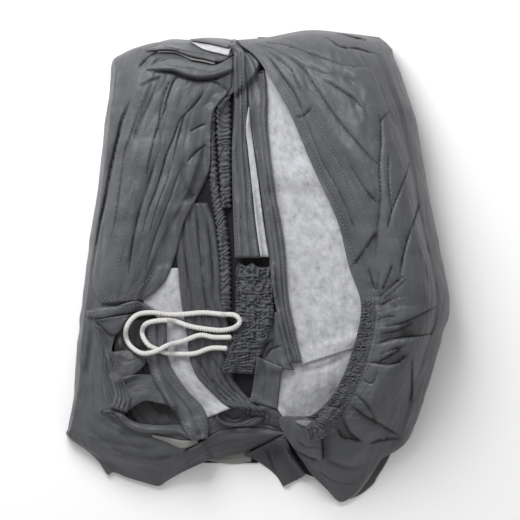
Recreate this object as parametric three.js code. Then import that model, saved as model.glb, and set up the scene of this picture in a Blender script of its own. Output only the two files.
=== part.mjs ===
// A fitted car cover, folded into a loose bundle that lies on its back.
// The shell cloth wraps a stack of folds, and its two sides meet over a valley
// where the pale lining, the hem bands, the elastic and the tie cord show.
import * as THREE from "three";

// Driving dimensions, in millimetres
const CLOTH = 2.4; // shell cloth with its bonded lining, one layer
const LINING = 1.6; // fleece lining
const GAP = 0.5; // between layers that lie on each other
const TURN = 12; // how far the shell bows out where it turns down at the sides
const FULL_TURN_HEIGHT = 42; // a side lower than this bows out less
const LEG_DEPTH = 1.6 * CLOTH; // upright depth of the shell where its sides slope
const CORD = 5; // braided tie cord
const STACK_LAYERS = 7;
const STACK_BASE = 1.5 * CLOTH + GAP; // middle of the lowest folded layer, on the wrap's floor
const LAYOUT_ACROSS = 258; // bundle's centre on the square that places are read from
const LAYOUT_DOWN = 266;

// How finely the cloth is divided
const WRAP_ROWS = 44;
const LEG_STEPS = { left: 8, right: 15 };
const TURN_STEPS = 4;
const FLOOR_STEPS = 3;
const STACK_ROWS = 7;
const STACK_STEPS = 5;
const FOLD_STEPS = 3;
const CORD_STEPS = 46;
const CORD_SIDES = 8;
const CORD_MARGIN = 7; // the cord clears what lies this near to its middle line

// Height map that later pieces settle on
const CELL = 1;
const MAP_HALF = 270;
const MAP_SIZE = (2 * MAP_HALF) / CELL;
const EDGE_SHARE = 0.05; // a triangle also counts for cells just outside its edges
const SETTLE_PASSES = 8;
const SMOOTH_ROUNDS = 5;

// Colours of the cloths, the elastic and the cord
const FINISHES = {
  shell: { color: 0x6a6c70, roughness: 0.62, metalness: 0 },
  lining: { color: 0xcfcdc9, roughness: 0.95, metalness: 0 },
  elastic: { color: 0x55565a, roughness: 0.75, metalness: 0 },
  cord: { color: 0xe4e3e0, roughness: 0.85, metalness: 0 },
};

// Top of the folded stack: a height for each place across, a row for each place down
const STACK_TOP = {
  across: [140, 190, 230, 270, 320, 370, 400],
  rows: [
    { down: 76, heights: [44, 45, 46, 49, 56, 58, 48] },
    { down: 110, heights: [50, 50, 50, 56, 66, 70, 60] },
    { down: 180, heights: [50, 46, 46, 56, 68, 76, 68] },
    { down: 250, heights: [44, 42, 44, 56, 66, 76, 72] },
    { down: 310, heights: [36, 36, 42, 54, 62, 72, 70] },
    { down: 360, heights: [32, 34, 38, 46, 56, 62, 58] },
    { down: 400, heights: [30, 31, 33, 37, 44, 48, 44] },
    { down: 430, heights: [29, 29, 29, 30, 33, 35, 33] },
  ],
};

// Fold edges of the stack, a row for each place down
const STACK_SIDES = [
  { down: 76, left: 146, right: 362 },
  { down: 110, left: 140, right: 384 },
  { down: 180, left: 134, right: 394 },
  { down: 250, left: 126, right: 406 },
  { down: 310, left: 120, right: 412 },
  { down: 360, left: 118, right: 402 },
  { down: 400, left: 124, right: 388 },
  { down: 430, left: 134, right: 368 },
];
const FOLD_SHIFTS = [2, -1, 3, -2, 1, -3]; // each fold edge stands a little in or out
const CROWN_SPAN = [0.15, 0.85]; // part of a half wave that a strip's crown follows along its length

// Left side of the wrap: a section in each row, [across, down, height] at each of its points
const LEFT_LEG = [
  // turned edge, rise, back, inner end
  [[119, 60, 5], [137, 47, 5], [170, 40, 5], [256, 39, 5]],
  [[121, 65, 26], [139, 52, 32], [171, 46, 35], [256, 46, 36]],
  [[122, 80, 44], [140, 74, 54], [168, 70, 57], [256, 70, 56]],
  [[117, 120, 48], [135, 120, 57], [160, 120, 57], [212, 118, 53]],
  [[109, 190, 48], [128, 190, 57], [155, 188, 57], [188, 186, 52]],
  [[101, 245, 46], [118, 245, 53], [140, 242, 52], [160, 238, 48]],
  [[93, 303, 42], [105, 303, 47], [120, 302, 46], [135, 300, 44]],
  [[88, 345, 39], [93, 345, 41], [98, 347, 42], [103, 348, 43]],
  [[84, 388, 35], [92, 393, 38], [98, 399, 39], [106, 404, 41]],
  [[73, 427, 24], [92, 432, 31], [111, 430, 39], [128, 427, 45]],
  [[75, 441, 14], [100, 454, 20], [130, 455, 34], [160, 438, 46]],
  [[90, 453, 8], [112, 467, 9], [152, 470, 22], [190, 449, 40]],
  [[100, 463, 5], [114, 474, 5], [158, 485, 5], [208, 461, 20]],
];

// Right side of the wrap: a section in each row, [across, down, height] at each of its points
const RIGHT_LEG = [
  // hem, slope, crown, flank, turned edge
  [[236, 39, 5], [268, 36, 5], [309, 29, 5], [347, 32, 5], [379, 36, 5]],
  [[240, 45, 40], [274, 41, 44], [312, 35, 46], [349, 37, 42], [378, 44, 30]],
  [[255, 57, 64], [288, 54, 72], [322, 50, 74], [354, 52, 68], [380, 58, 50]],
  [[268, 76, 76], [302, 75, 85], [337, 73, 89], [367, 75, 81], [389, 80, 58]],
  [[289, 113, 80], [320, 112, 92], [352, 110, 99], [382, 112, 88], [401, 116, 62]],
  [[313, 169, 80], [340, 168, 95], [370, 166, 104], [398, 166, 94], [412, 170, 64]],
  [[337, 222, 80], [361, 220, 96], [387, 219, 106], [410, 219, 96], [421, 222, 66]],
  [[350, 262, 78], [374, 262, 94], [400, 262, 104], [422, 262, 92], [431, 264, 64]],
  [[360, 303, 76], [383, 304, 92], [405, 304, 100], [425, 304, 88], [438, 304, 62]],
  [[354, 342, 72], [377, 343, 87], [400, 343, 92], [419, 342, 80], [430, 338, 56]],
  [[337, 386, 64], [360, 388, 75], [383, 388, 78], [402, 385, 66], [414, 382, 46]],
  [[312, 414, 56], [337, 420, 60], [362, 424, 60], [388, 424, 48], [403, 420, 34]],
  [[279, 420, 49], [309, 441, 44], [342, 456, 37], [372, 452, 28], [391, 444, 20]],
  [[310, 473, 12], [325, 488, 7], [341, 503, 5], [361, 494, 6], [381, 466, 9]],
];
const ELASTIC = { from: 0.53, to: 0.86, height: 6, reach: 0.25 }; // share of the hem that is drawn up

// Main folds of the shell, as soft ridges (+) or troughs (-)
const FOLDS = [
  { height: 8, width: 10, line: [[261, 44], [308, 78], [337, 121], [364, 154]] },
  { height: -9, width: 9, line: [[275, 56], [333, 76], [366, 78]] },
  { height: -8, width: 8, line: [[325, 95], [356, 110], [380, 116]] },
  { height: -8, width: 11, line: [[372, 150], [374, 196], [370, 229], [362, 255]] },
  { height: -6, width: 13, line: [[418, 200], [408, 245], [402, 285]] },
  { height: -10, width: 8, line: [[376, 327], [405, 320], [432, 306]] },
  { height: -10, width: 8, line: [[370, 345], [418, 335], [442, 331]] },
  { height: -10, width: 8, line: [[368, 362], [393, 363], [412, 350]] },
  { height: -8, width: 8, line: [[357, 395], [370, 408], [378, 424]] },
  { height: -10, width: 9, line: [[342, 420], [362, 435], [392, 430]] },
  { height: -6, width: 8, line: [[322, 440], [330, 460], [365, 466]] },
  { height: -8, width: 8, line: [[158, 154], [140, 212], [131, 260]] },
  { height: 7, width: 8, line: [[188, 105], [168, 153], [151, 206]] },
  { height: 5, width: 8, line: [[142, 105], [126, 160], [112, 240]] },
];

// Pieces laid between and over the two sides, lowest first. Each section runs from one edge of the
// strip to the other, [across, down] at both, with a height where it stands above what is under it.
// Crown and pleats raise the strip between its edges, and ruches raise it along its length.
const LAID_PIECES = [
  {
    name: "pocket_cloth", finish: "shell", thickness: CLOTH,
    steps: [6, 8], crown: 5, pleats: 2, pleat: 2,
    sections: [
      [[100, 322], [166, 318]], [[107, 350], [168, 348]], [[113, 380], [175, 380]],
      [[118, 405], [190, 410]], [[130, 424], [198, 430]],
    ],
  },
  {
    name: "lining_left", finish: "lining", thickness: LINING,
    steps: [4, 14], crown: 2,
    sections: [
      [[160, 268], [179, 268]], [[143, 300], [182, 303]], [[155, 315], [184, 315]], [[164, 330], [188, 332]],
      [[165, 353], [190, 353]], [[170, 370], [196, 372]], [[194, 400], [220, 400]], [[207, 418], [231, 408]],
    ],
  },
  {
    name: "gathered_strip", finish: "shell", thickness: CLOTH,
    steps: [6, 14], crown: 5, pleats: 3, pleat: 2,
    sections: [
      [[176, 203], [207, 203]], [[171, 225], [215, 225]], [[177, 260], [220, 258]], [[182, 300], [224, 300]],
      [[187, 335], [231, 335]], [[190, 357], [240, 355]], [[198, 378], [250, 375]], [[224, 402], [252, 400]],
    ],
  },
  { leg: "left" },
  {
    name: "bottom_roll", finish: "shell", thickness: CLOTH,
    steps: [5, 9], crown: 4,
    sections: [
      [[199, 443, 34], [206, 460, 12]], [[220, 432, 34], [223, 458, 12]], [[237, 429, 32], [243, 453, 10]],
      [[258, 427, 32], [263, 446, 12]], [[283, 428, 32], [286, 439, 16]], [[297, 432, 28], [299, 442, 16]],
    ],
  },
  {
    name: "rolled_end", finish: "shell", thickness: CLOTH,
    steps: [6, 5], crown: 9,
    sections: [
      [[214, 411], [216, 429]], [[228, 406], [229, 428]], [[244, 404], [244, 426]], [[257, 406], [256, 423]],
    ],
  },
  {
    name: "ruched_strip_long", finish: "elastic", thickness: CLOTH,
    steps: [2, 28], crown: 3, ruches: 14, ruche: 2,
    sections: [
      [[209, 108], [216, 108]], [[209, 150], [216, 150]], [[211, 190], [219, 188]], [[215, 215], [225, 213]],
      [[220, 258], [230, 257]], [[222, 311], [231, 311]],
    ],
  },
  {
    name: "ruched_strip_short", finish: "elastic", thickness: CLOTH,
    steps: [3, 20], crown: 3, ruches: 10, ruche: 2,
    sections: [
      [[217, 99], [230, 97]], [[217, 130], [231, 130]], [[219, 160], [231, 160]], [[222, 208], [231, 208]],
    ],
  },
  {
    name: "elastic_gather", finish: "elastic", thickness: CLOTH,
    steps: [4, 16], crown: 5, ruches: 8, ruche: 2,
    sections: [
      [[236, 271], [272, 276]], [[236, 295], [274, 298]], [[235, 318], [273, 318]], [[231, 342], [267, 340]],
      [[222, 372], [253, 374]],
    ],
  },
  {
    name: "lining_lower", finish: "lining", thickness: LINING,
    steps: [6, 6], crown: 2,
    sections: [
      [[280, 352], [366, 334]], [[281, 368], [356, 354]], [[278, 390], [345, 381]], [[276, 405], [333, 399]],
      [[283, 417], [322, 418]],
    ],
  },
  {
    name: "lower_facing", finish: "shell", thickness: CLOTH,
    steps: [3, 4], crown: 1,
    sections: [[[257, 354], [284, 362]], [[255, 368], [281, 376]], [[250, 400], [277, 409]]],
  },
  {
    name: "lining_upper", finish: "lining", thickness: LINING,
    steps: [7, 14], crown: 3,
    sections: [
      [[262, 70], [270, 70]], [[260, 91], [284, 92]], [[259, 113], [299, 114]], [[262, 150], [322, 152]],
      [[267, 190], [344, 192]], [[276, 250], [366, 248]], [[284, 303], [376, 300]], [[292, 343], [370, 334]],
      [[301, 365], [354, 347]],
    ],
  },
  {
    name: "centre_hem_band", finish: "shell", thickness: CLOTH,
    steps: [5, 18], crown: 3, pleats: 3, pleat: 1.6,
    sections: [
      [[237, 52], [250, 54]], [[242, 66], [263, 68]], [[246, 95], [267, 95]], [[249, 134], [268, 134]],
      [[260, 191], [275, 191]], [[267, 241], [284, 241]], [[275, 303], [289, 303]], [[289, 363], [302, 362]],
    ],
  },
  {
    name: "lining_strip", finish: "lining", thickness: LINING,
    steps: [2, 8], crown: 1,
    sections: [
      [[244, 122], [250, 122]], [[247, 150], [253, 150]],
      [[252, 200], [260, 200]], [[259, 257], [269, 257]],
    ],
  },
  {
    name: "front_hem_band", finish: "shell", thickness: CLOTH,
    steps: [5, 12], crown: 3, pleats: 3, pleat: 1.6,
    sections: [
      [[234, 60], [242, 64]], [[234, 113], [248, 113]], [[232, 150], [249, 150]], [[233, 205], [255, 205]],
      [[235, 258], [261, 258]],
    ],
  },
  {
    name: "cuff_strap", finish: "shell", thickness: CLOTH,
    steps: [3, 6], crown: 2,
    sections: [
      [[86, 311], [88, 317]], [[100, 307], [102, 319]],
      [[118, 305], [118, 315]], [[152, 303], [152, 312]],
    ],
  },
  {
    name: "cuff_flap", finish: "shell", thickness: CLOTH,
    steps: [3, 5], crown: 2,
    sections: [
      [[96, 320], [97, 323]], [[112, 317], [113, 335]],
      [[125, 315], [127, 325]], [[139, 313], [140, 316]],
    ],
  },
  {
    name: "left_hem_panel", finish: "shell", thickness: CLOTH,
    steps: [11, 20], crown: 7, folded: true,
    sections: [
      [[154, 58], [233, 68]], [[143, 75], [230, 90]], [[130, 106], [214, 112]], [[121, 130], [211, 140]],
      [[113, 165], [209, 172]], [[106, 200], [194, 204]], [[101, 222], [184, 224]], [[96, 250], [176, 254]],
      [[93, 275], [167, 278]], [[95, 292], [155, 292]], [[102, 304], [142, 301]],
    ],
  },
  {
    name: "pocket_rim", finish: "shell", thickness: CLOTH,
    steps: [4, 10], crown: 3, pleats: 2, pleat: 1.5,
    sections: [
      [[96, 324], [104, 324]], [[106, 357], [117, 358]], [[112, 382], [126, 384]], [[112, 400], [128, 404]],
      [[103, 412], [125, 421]],
    ],
  },
  {
    name: "lower_hem_band", finish: "shell", thickness: CLOTH,
    steps: [4, 12], crown: 3, pleats: 2, pleat: 1.5,
    sections: [
      [[147, 320], [167, 321]], [[147, 357], [168, 356]], [[153, 378], [176, 374]], [[161, 392], [188, 391]],
      [[176, 416], [203, 407]], [[192, 439], [208, 435]],
    ],
  },
  {
    name: "lining_edges", finish: "lining", thickness: LINING,
    steps: [2, 5], crown: 1,
    sections: [
      [[212, 456], [213, 462]], [[226, 453], [227, 464]],
      [[240, 450], [242, 464]], [[254, 447], [256, 462]],
    ],
  },
  {
    name: "corner_flap", finish: "shell", thickness: CLOTH,
    steps: [5, 6], crown: 3,
    sections: [
      [[244, 456], [291, 434]], [[255, 461], [299, 452]], [[270, 471], [307, 468]], [[278, 479], [311, 477]],
      [[283, 488], [287, 486]],
    ],
  },
  {
    name: "top_flap", finish: "shell", thickness: CLOTH,
    steps: [4, 9], crown: 3,
    sections: [
      [[150, 45], [150, 51]], [[170, 38], [171, 50]],
      [[204, 37], [206, 60]], [[236, 38], [233, 56]],
    ],
  },
  {
    name: "lining_top", finish: "lining", thickness: LINING,
    steps: [2, 4], crown: 1,
    sections: [[[188, 39], [190, 43]], [[205, 40], [205, 50]], [[227, 44], [223, 54]]],
  },
  {
    name: "top_layer", finish: "shell", thickness: CLOTH,
    steps: [2, 5], crown: 1,
    sections: [[[186, 37], [188, 40]], [[204, 36], [205, 43]], [[230, 37], [228, 48]]],
  },
  {
    name: "top_lip", finish: "shell", thickness: CLOTH,
    steps: [4, 9], crown: 5,
    sections: [
      [[152, 66], [152, 71]], [[175, 60], [174, 71]],
      [[202, 66], [200, 78]], [[233, 58], [233, 70]],
    ],
  },
  { leg: "right" },
];

// Tie cord, from one free end to the other: [across, down], and over where it crosses itself
const CORD_ROUTE = [
  { at: [227, 348] }, { at: [211, 348] }, { at: [196, 353] }, { at: [183, 354] }, { at: [168, 353] },
  { at: [157, 349] }, { at: [148, 344] }, { at: [142.5, 334] }, { at: [145, 325] }, { at: [155, 321] },
  { at: [172, 320.5] }, { at: [190, 326] }, { at: [208, 329] }, { at: [223, 330] }, { at: [235, 327] },
  { at: [240, 321] }, { at: [235, 315] }, { at: [222, 314] }, { at: [203, 312.5] }, { at: [185, 314] },
  { at: [168, 314.5] }, { at: [152, 312.5] }, { at: [138, 314.5] }, { at: [129, 323] }, { at: [126, 334] },
  { at: [130, 345] }, { at: [142, 353], over: 0.4 }, { at: [156, 351], over: 1 },
  { at: [168, 345], over: 0.5 },
  { at: [183, 341] }, { at: [200, 335] }, { at: [214, 337] }, { at: [232, 337] },
];

// Plane and section geometry

function place([across, down]) {
  return new THREE.Vector2(across - LAYOUT_ACROSS, LAYOUT_DOWN - down);
}

function placeHigh([across, down, height = 0]) {
  const flat = place([across, down]);
  return new THREE.Vector3(flat.x, flat.y, height);
}

// Smooth surface through sections of points: a row of points for each step down
function loft(sections, acrossSteps, downSteps) {
  const lines = sections.map((points) => new THREE.CatmullRomCurve3(points).getPoints(acrossSteps));
  const rows = Array.from({ length: downSteps + 1 }, () => []);
  for (let i = 0; i <= acrossSteps; i++) {
    const column = new THREE.CatmullRomCurve3(lines.map((line) => line[i])).getPoints(downSteps);
    column.forEach((point, j) => rows[j].push(point));
  }
  return rows;
}

// Value at a place on a table with one row of heights for each place down
function tableHeight(table, flat) {
  const downs = table.rows.map((row) => row.down);
  const heights = table.rows.flatMap((row) => row.heights);
  const byRow = new THREE.LinearInterpolant(downs, heights, table.across.length);
  const row = Array.from(byRow.evaluate(LAYOUT_DOWN - flat.y));
  return new THREE.LinearInterpolant(table.across, row, 1).evaluate(flat.x + LAYOUT_ACROSS)[0];
}

// Distance from a place to a line of points, and how far along the line the nearest point lies
function nearLine(flat, line) {
  let best = { distance: Infinity, along: 0 };
  for (let i = 1; i < line.length; i++) {
    const start = line[i - 1];
    const step = line[i].clone().sub(start);
    const share = THREE.MathUtils.clamp(flat.clone().sub(start).dot(step) / step.lengthSq(), 0, 1);
    const distance = start.clone().addScaledVector(step, share).distanceTo(flat);
    if (distance < best.distance) {
      best = { distance, along: (i - 1 + share) / (line.length - 1) };
    }
  }
  return best;
}

// Rise of the main folds at a place, fading out towards both ends of each fold
function foldHeight({ x, y }) {
  const flat = new THREE.Vector2(x, y);
  let height = 0;
  for (const fold of FOLDS) {
    const { distance, along } = nearLine(flat, fold.line.map(place));
    height += fold.height * Math.exp(-((distance / fold.width) ** 2)) * Math.sin(Math.PI * along);
  }
  return height;
}

// Height map of what has been laid so far
class Support {
  constructor() {
    this.heights = new Float32Array(MAP_SIZE * MAP_SIZE);
  }

  heightAt({ x, y }) {
    return this.heights[cellNumber(cellAt(x), cellAt(y))];
  }

  highestNear({ x, y }, margin) {
    let highest = 0;
    for (let dx = -margin; dx <= margin; dx += CELL) {
      for (let dy = -margin; dy <= margin; dy += CELL) {
        highest = Math.max(highest, this.heightAt({ x: x + dx, y: y + dy }));
      }
    }
    return highest;
  }

  cover(rows) {
    for (const { cell, height } of cellsUnder(rows)) {
      this.heights[cell] = Math.max(this.heights[cell], height);
    }
  }
}

function cellAt(distance) {
  return Math.floor((distance + MAP_HALF) / CELL);
}

function cellMiddle(count) {
  return (count + 0.5) * CELL - MAP_HALF;
}

function cellNumber(column, row) {
  return row * MAP_SIZE + column;
}

// The two triangles of every cell of a grid
function* triangles(rows) {
  for (let j = 1; j < rows.length; j++) {
    for (let i = 1; i < rows[j].length; i++) {
      yield [rows[j - 1][i - 1], rows[j - 1][i], rows[j][i - 1]];
      yield [rows[j - 1][i], rows[j][i], rows[j][i - 1]];
    }
  }
}

// Map cells whose middles a sheet covers, with its height there and the shares of the three corners
function* cellsUnder(rows) {
  const middle = new THREE.Vector3();
  const shares = new THREE.Vector3();
  for (const corners of triangles(rows)) {
    const flat = corners.map((corner) => corner.clone().setZ(0));
    const box = new THREE.Box3().setFromPoints(flat).expandByScalar(CELL);
    for (let row = cellAt(box.min.y); row <= cellAt(box.max.y); row++) {
      for (let column = cellAt(box.min.x); column <= cellAt(box.max.x); column++) {
        middle.set(cellMiddle(column), cellMiddle(row), 0);
        const found = THREE.Triangle.getBarycoord(middle, ...flat, shares);
        if (found && Math.min(shares.x, shares.y, shares.z) > -EDGE_SHARE) {
          const height = corners[0].z * shares.x + corners[1].z * shares.y + corners[2].z * shares.z;
          yield { cell: cellNumber(column, row), height, corners, shares };
        }
      }
    }
  }
}

// Lifts a sheet until it clears what lies under it
function settle(rows, support, clearance) {
  for (const point of rows.flat()) {
    point.z = Math.max(point.z, support.heightAt(point) + clearance);
  }
  for (let pass = 0; pass < SETTLE_PASSES; pass++) {
    for (const { cell, height, corners, shares } of cellsUnder(rows)) {
      const dip = support.heights[cell] + clearance - height;
      if (dip > 0) {
        corners.forEach((corner, i) => (corner.z += (dip * shares.getComponent(i)) / shares.lengthSq()));
      }
    }
  }
}

// Lowers a sheet as one until it rests on what lies under it
function seat(rows, support) {
  let slack = Infinity;
  for (const { cell, height } of cellsUnder(rows)) {
    slack = Math.min(slack, height - support.heights[cell] - GAP);
  }
  rows.flat().forEach((point) => (point.z -= slack));
}

// Evens out the heights of a sheet, as cloth bridges small steps
function smooth(rows) {
  const before = rows.map((row) => row.map((point) => point.z));
  rows.forEach((row, j) =>
    row.forEach((point, i) => {
      const beside = [before[j - 1]?.[i], before[j + 1]?.[i], before[j][i - 1], before[j][i + 1]];
      const known = beside.filter((height) => height !== undefined);
      const mean = known.reduce((sum, height) => sum + height, 0) / known.length;
      point.z = (point.z + mean) / 2;
    }),
  );
}

// Settles a sheet and spreads its lift softly round the places that push it up
function drape(rows, support, clearance) {
  const shape = rows.map((row) => row.map((point) => point.z));
  const addShape = (sign) =>
    rows.forEach((row, j) => row.forEach((point, i) => (point.z += sign * shape[j][i])));
  for (let round = 0; round < SMOOTH_ROUNDS; round++) {
    settle(rows, support, clearance);
    addShape(-1);
    smooth(rows);
    addShape(1);
  }
  settle(rows, support, clearance);
}

// Unit normal at each point of a grid
function normalsOf(rows) {
  const last = rows.length - 1;
  return rows.map((row, j) =>
    row.map((_, i) => {
      const alongRow = row[Math.min(i + 1, row.length - 1)].clone().sub(row[Math.max(i - 1, 0)]);
      const alongColumn = rows[Math.min(j + 1, last)][i].clone().sub(rows[Math.max(j - 1, 0)][i]);
      return alongRow.cross(alongColumn).normalize();
    }),
  );
}

function offset(rows, distance) {
  const normals = normalsOf(rows);
  return rows.map((row, j) => row.map((point, i) => point.clone().addScaledVector(normals[j][i], distance)));
}

// Closed solid between two faces of the same grid
function solidBetween(upper, lower) {
  const [rowCount, columnCount] = [upper.length, upper[0].length];
  const points = [...upper.flat(), ...lower.flat()];
  const index = [];
  const top = (j, i) => j * columnCount + i;
  const under = (j, i) => rowCount * columnCount + top(j, i);
  const quad = (a, b, c, d) => index.push(a, b, c, b, d, c);
  for (let j = 1; j < rowCount; j++) {
    for (let i = 1; i < columnCount; i++) {
      quad(top(j - 1, i - 1), top(j - 1, i), top(j, i - 1), top(j, i));
      index.push(under(j - 1, i - 1), under(j, i - 1), under(j - 1, i));
      index.push(under(j - 1, i), under(j, i - 1), under(j, i));
    }
  }
  const [lastRow, lastColumn] = [rowCount - 1, columnCount - 1];
  for (let j = 1; j < rowCount; j++) {
    quad(top(j - 1, 0), top(j, 0), under(j - 1, 0), under(j, 0));
    quad(top(j, lastColumn), top(j - 1, lastColumn), under(j, lastColumn), under(j - 1, lastColumn));
  }
  for (let i = 1; i < columnCount; i++) {
    quad(top(0, i), top(0, i - 1), under(0, i), under(0, i - 1));
    quad(top(lastRow, i - 1), top(lastRow, i), under(lastRow, i - 1), under(lastRow, i));
  }
  const geometry = new THREE.BufferGeometry().setFromPoints(points);
  geometry.setIndex(index);
  geometry.computeVertexNormals();
  return geometry;
}

function node(name, finish, geometry) {
  const mesh = new THREE.Mesh(geometry, new THREE.MeshStandardMaterial(FINISHES[finish]));
  mesh.name = name;
  return mesh;
}

// The folded stack

function stackSides(down) {
  const downs = STACK_SIDES.map((row) => row.down);
  const sides = STACK_SIDES.flatMap((row) => [row.left, row.right]);
  const [left, right] = new THREE.LinearInterpolant(downs, sides, 2).evaluate(down);
  return { left, right };
}

// One back-and-forth section through the layers at a place down the bundle
function stackSection(down) {
  const { left, right } = stackSides(down);
  const points = [];
  for (let layer = 0; layer < STACK_LAYERS; layer++) {
    const rightward = layer % 2 === 0;
    const rank = layer / (STACK_LAYERS - 1);
    const layerPoint = (share) => {
      const flat = place([THREE.MathUtils.lerp(left, right, rightward ? share : 1 - share), down]);
      const height = STACK_BASE + (tableHeight(STACK_TOP, flat) - CLOTH / 2 - STACK_BASE) * rank;
      return new THREE.Vector3(flat.x, flat.y, height);
    };
    if (layer > 0) {
      points.push(...foldBetween(points.at(-1), layerPoint(0), rightward ? -1 : 1, FOLD_SHIFTS[layer - 1]));
    }
    for (let step = 0; step <= STACK_STEPS; step++) {
      points.push(layerPoint(step / STACK_STEPS));
    }
  }
  return points;
}

// Half turn from the end of one layer to the start of the next
function foldBetween(from, to, side, shift) {
  const middle = from.clone().lerp(to, 0.5);
  const reach = from.distanceTo(to) / 2 + Math.max(shift, 0);
  return Array.from({ length: FOLD_STEPS }, (_, step) => {
    const angle = (Math.PI * (step + 1)) / (FOLD_STEPS + 1);
    const point = middle.clone().lerp(from, Math.cos(angle));
    point.x += side * reach * Math.sin(angle);
    return point;
  });
}

function stackRows() {
  const [first, last] = [STACK_SIDES[0].down, STACK_SIDES.at(-1).down];
  return Array.from({ length: STACK_ROWS + 1 }, (_, row) =>
    stackSection(THREE.MathUtils.lerp(first, last, row / STACK_ROWS)),
  );
}

// The wrap

// One side of the wrap, each row in the order that the whole sheet runs
function foldedLeg(table, steps) {
  const rows = loft(table.map((section) => section.map(placeHigh)), steps, WRAP_ROWS);
  rows.flat().forEach((point) => (point.z += foldHeight(point) * Math.min(1, point.z / FULL_TURN_HEIGHT)));
  return rows.map((row) => row.toReversed());
}

// Ruffles where the elastic draws up the right hem, fading out away from it
function ruffle(rows) {
  rows.forEach((row, j) => {
    const share = (j / WRAP_ROWS - ELASTIC.from) / (ELASTIC.to - ELASTIC.from);
    const strength = share > 0 && share < 1 ? Math.sin(Math.PI * share) : 0;
    row.toReversed().forEach((point, i) => {
      const fade = Math.exp(-i / LEG_STEPS.right / ELASTIC.reach);
      point.z += (j % 2) * ELASTIC.height * strength * fade;
    });
  });
}

// Half turn of the shell from a leg's edge down towards the floor, bowed outwards
function sideTurn(edge, inward) {
  const outward = edge.clone().sub(inward).setZ(0).normalize();
  const radius = edge.z / 2;
  const reach = TURN * Math.min(1, edge.z / FULL_TURN_HEIGHT);
  return Array.from({ length: TURN_STEPS - 1 }, (_, step) => {
    const angle = (Math.PI * (step + 1)) / TURN_STEPS;
    const point = edge.clone().addScaledVector(outward, reach * Math.sin(angle));
    return point.setZ(radius * (1 + Math.cos(angle)));
  });
}

// Half turns along one side, each from the leg's edge down
function turnRows(edges, opposite) {
  return edges.map((edge, j) => [edge, ...sideTurn(edge, opposite[j])]);
}

// Part of the wrap that lies on the floor, from under the left edges to under the right ones
function floorRows(edges, height) {
  return edges.left.map((left, j) => {
    const [from, to] = [left, edges.right[j]].map((edge) => edge.clone().setZ(height));
    return Array.from({ length: FLOOR_STEPS + 1 }, (_, step) => from.clone().lerp(to, step / FLOOR_STEPS));
  });
}

function wrapRows(legs, edges) {
  const floor = floorRows(edges, 0);
  const leftTurns = turnRows(edges.left, edges.right);
  const rightTurns = turnRows(edges.right, edges.left);
  return floor.map((middle, j) => {
    const leftSide = [...legs.left[j], ...leftTurns[j].slice(1)];
    const rightSide = [...rightTurns[j].slice(1).reverse(), ...legs.right[j]];
    return [...leftSide, ...middle, ...rightSide];
  });
}

// Strips laid on what is under them

function stripRows({ sections, steps: [across, down] }) {
  const rows = loft(sections.map((ends) => ends.map((end) => placeHigh(end))), across, down);
  const [a, b, c] = [rows[0][0], rows[0].at(-1), rows.at(-1)[0]];
  const facesUp = b.clone().sub(a).cross(c.clone().sub(a)).z > 0;
  return facesUp ? rows : rows.map((row) => row.toReversed());
}

// Rise of a strip between its edges, its folds, its pleats and its ruches
function raiseStrip(rows, { crown, folded = false, pleats = 0, pleat = 0, ruches = 0, ruche = 0 }) {
  rows.forEach((row, j) => {
    const along = j / (rows.length - 1);
    row.forEach((point, i) => {
      const across = i / (row.length - 1);
      const bow = Math.sin(Math.PI * across);
      const ridge = pleat * Math.sin(Math.PI * pleats * across) ** 2;
      const gather = ruche * Math.sin(Math.PI * ruches * along) ** 2 * (0.5 + bow / 2);
      const fold = folded ? foldHeight(point) : 0;
      const swell = crown * bow * Math.sin(Math.PI * THREE.MathUtils.lerp(...CROWN_SPAN, along));
      point.z += Math.max(0, swell + fold + ridge + gather);
    });
  });
}

function lift(rows, height) {
  return rows.map((row) => row.map((point) => point.clone().setZ(point.z + height)));
}

// The tie cord

function cordGeometry(support) {
  const flat = new THREE.SplineCurve(CORD_ROUTE.map(({ at }) => place(at)));
  const overs = CORD_ROUTE.map(({ over = 0 }) => over);
  const rises = new THREE.LinearInterpolant(overs.map((_, i) => i / (overs.length - 1)), overs, 1);
  const points = Array.from({ length: CORD_STEPS + 1 }, (_, step) => {
    const share = step / CORD_STEPS;
    const at = flat.getPoint(share);
    const over = rises.evaluate(share)[0] * (CORD + GAP);
    return new THREE.Vector3(at.x, at.y, support.highestNear(at, CORD_MARGIN) + CORD / 2 + GAP + over);
  });
  const lowest = points.map((point) => point.z);
  smooth([points]);
  points.forEach((point, i) => (point.z = Math.max(point.z, lowest[i])));
  const circle = new THREE.Path().absarc(0, 0, CORD / 2, 0, 2 * Math.PI);
  const section = new THREE.Shape(circle.getPoints(CORD_SIDES / 2));
  const extrudePath = new THREE.CatmullRomCurve3(points);
  return new THREE.ExtrudeGeometry(section, { steps: CORD_STEPS, curveSegments: CORD_SIDES, extrudePath });
}

// The whole bundle
const cover = new THREE.Group();
const support = new Support();

const stack = stackRows();
const stackFaces = [offset(stack, CLOTH / 2), offset(stack, -CLOTH / 2)];
cover.add(node("inner_folds", "shell", solidBetween(...stackFaces)));
stackFaces.forEach((face) => support.cover(face));

const legs = {
  left: foldedLeg(LEFT_LEG, LEG_STEPS.left),
  right: foldedLeg(RIGHT_LEG, LEG_STEPS.right),
};
ruffle(legs.right);
const edges = {
  left: legs.left.map((row) => row.at(-1)),
  right: legs.right.map((row) => row[0]),
};
const opposite = { left: edges.right, right: edges.left };
support.cover(floorRows(edges, CLOTH));

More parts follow.
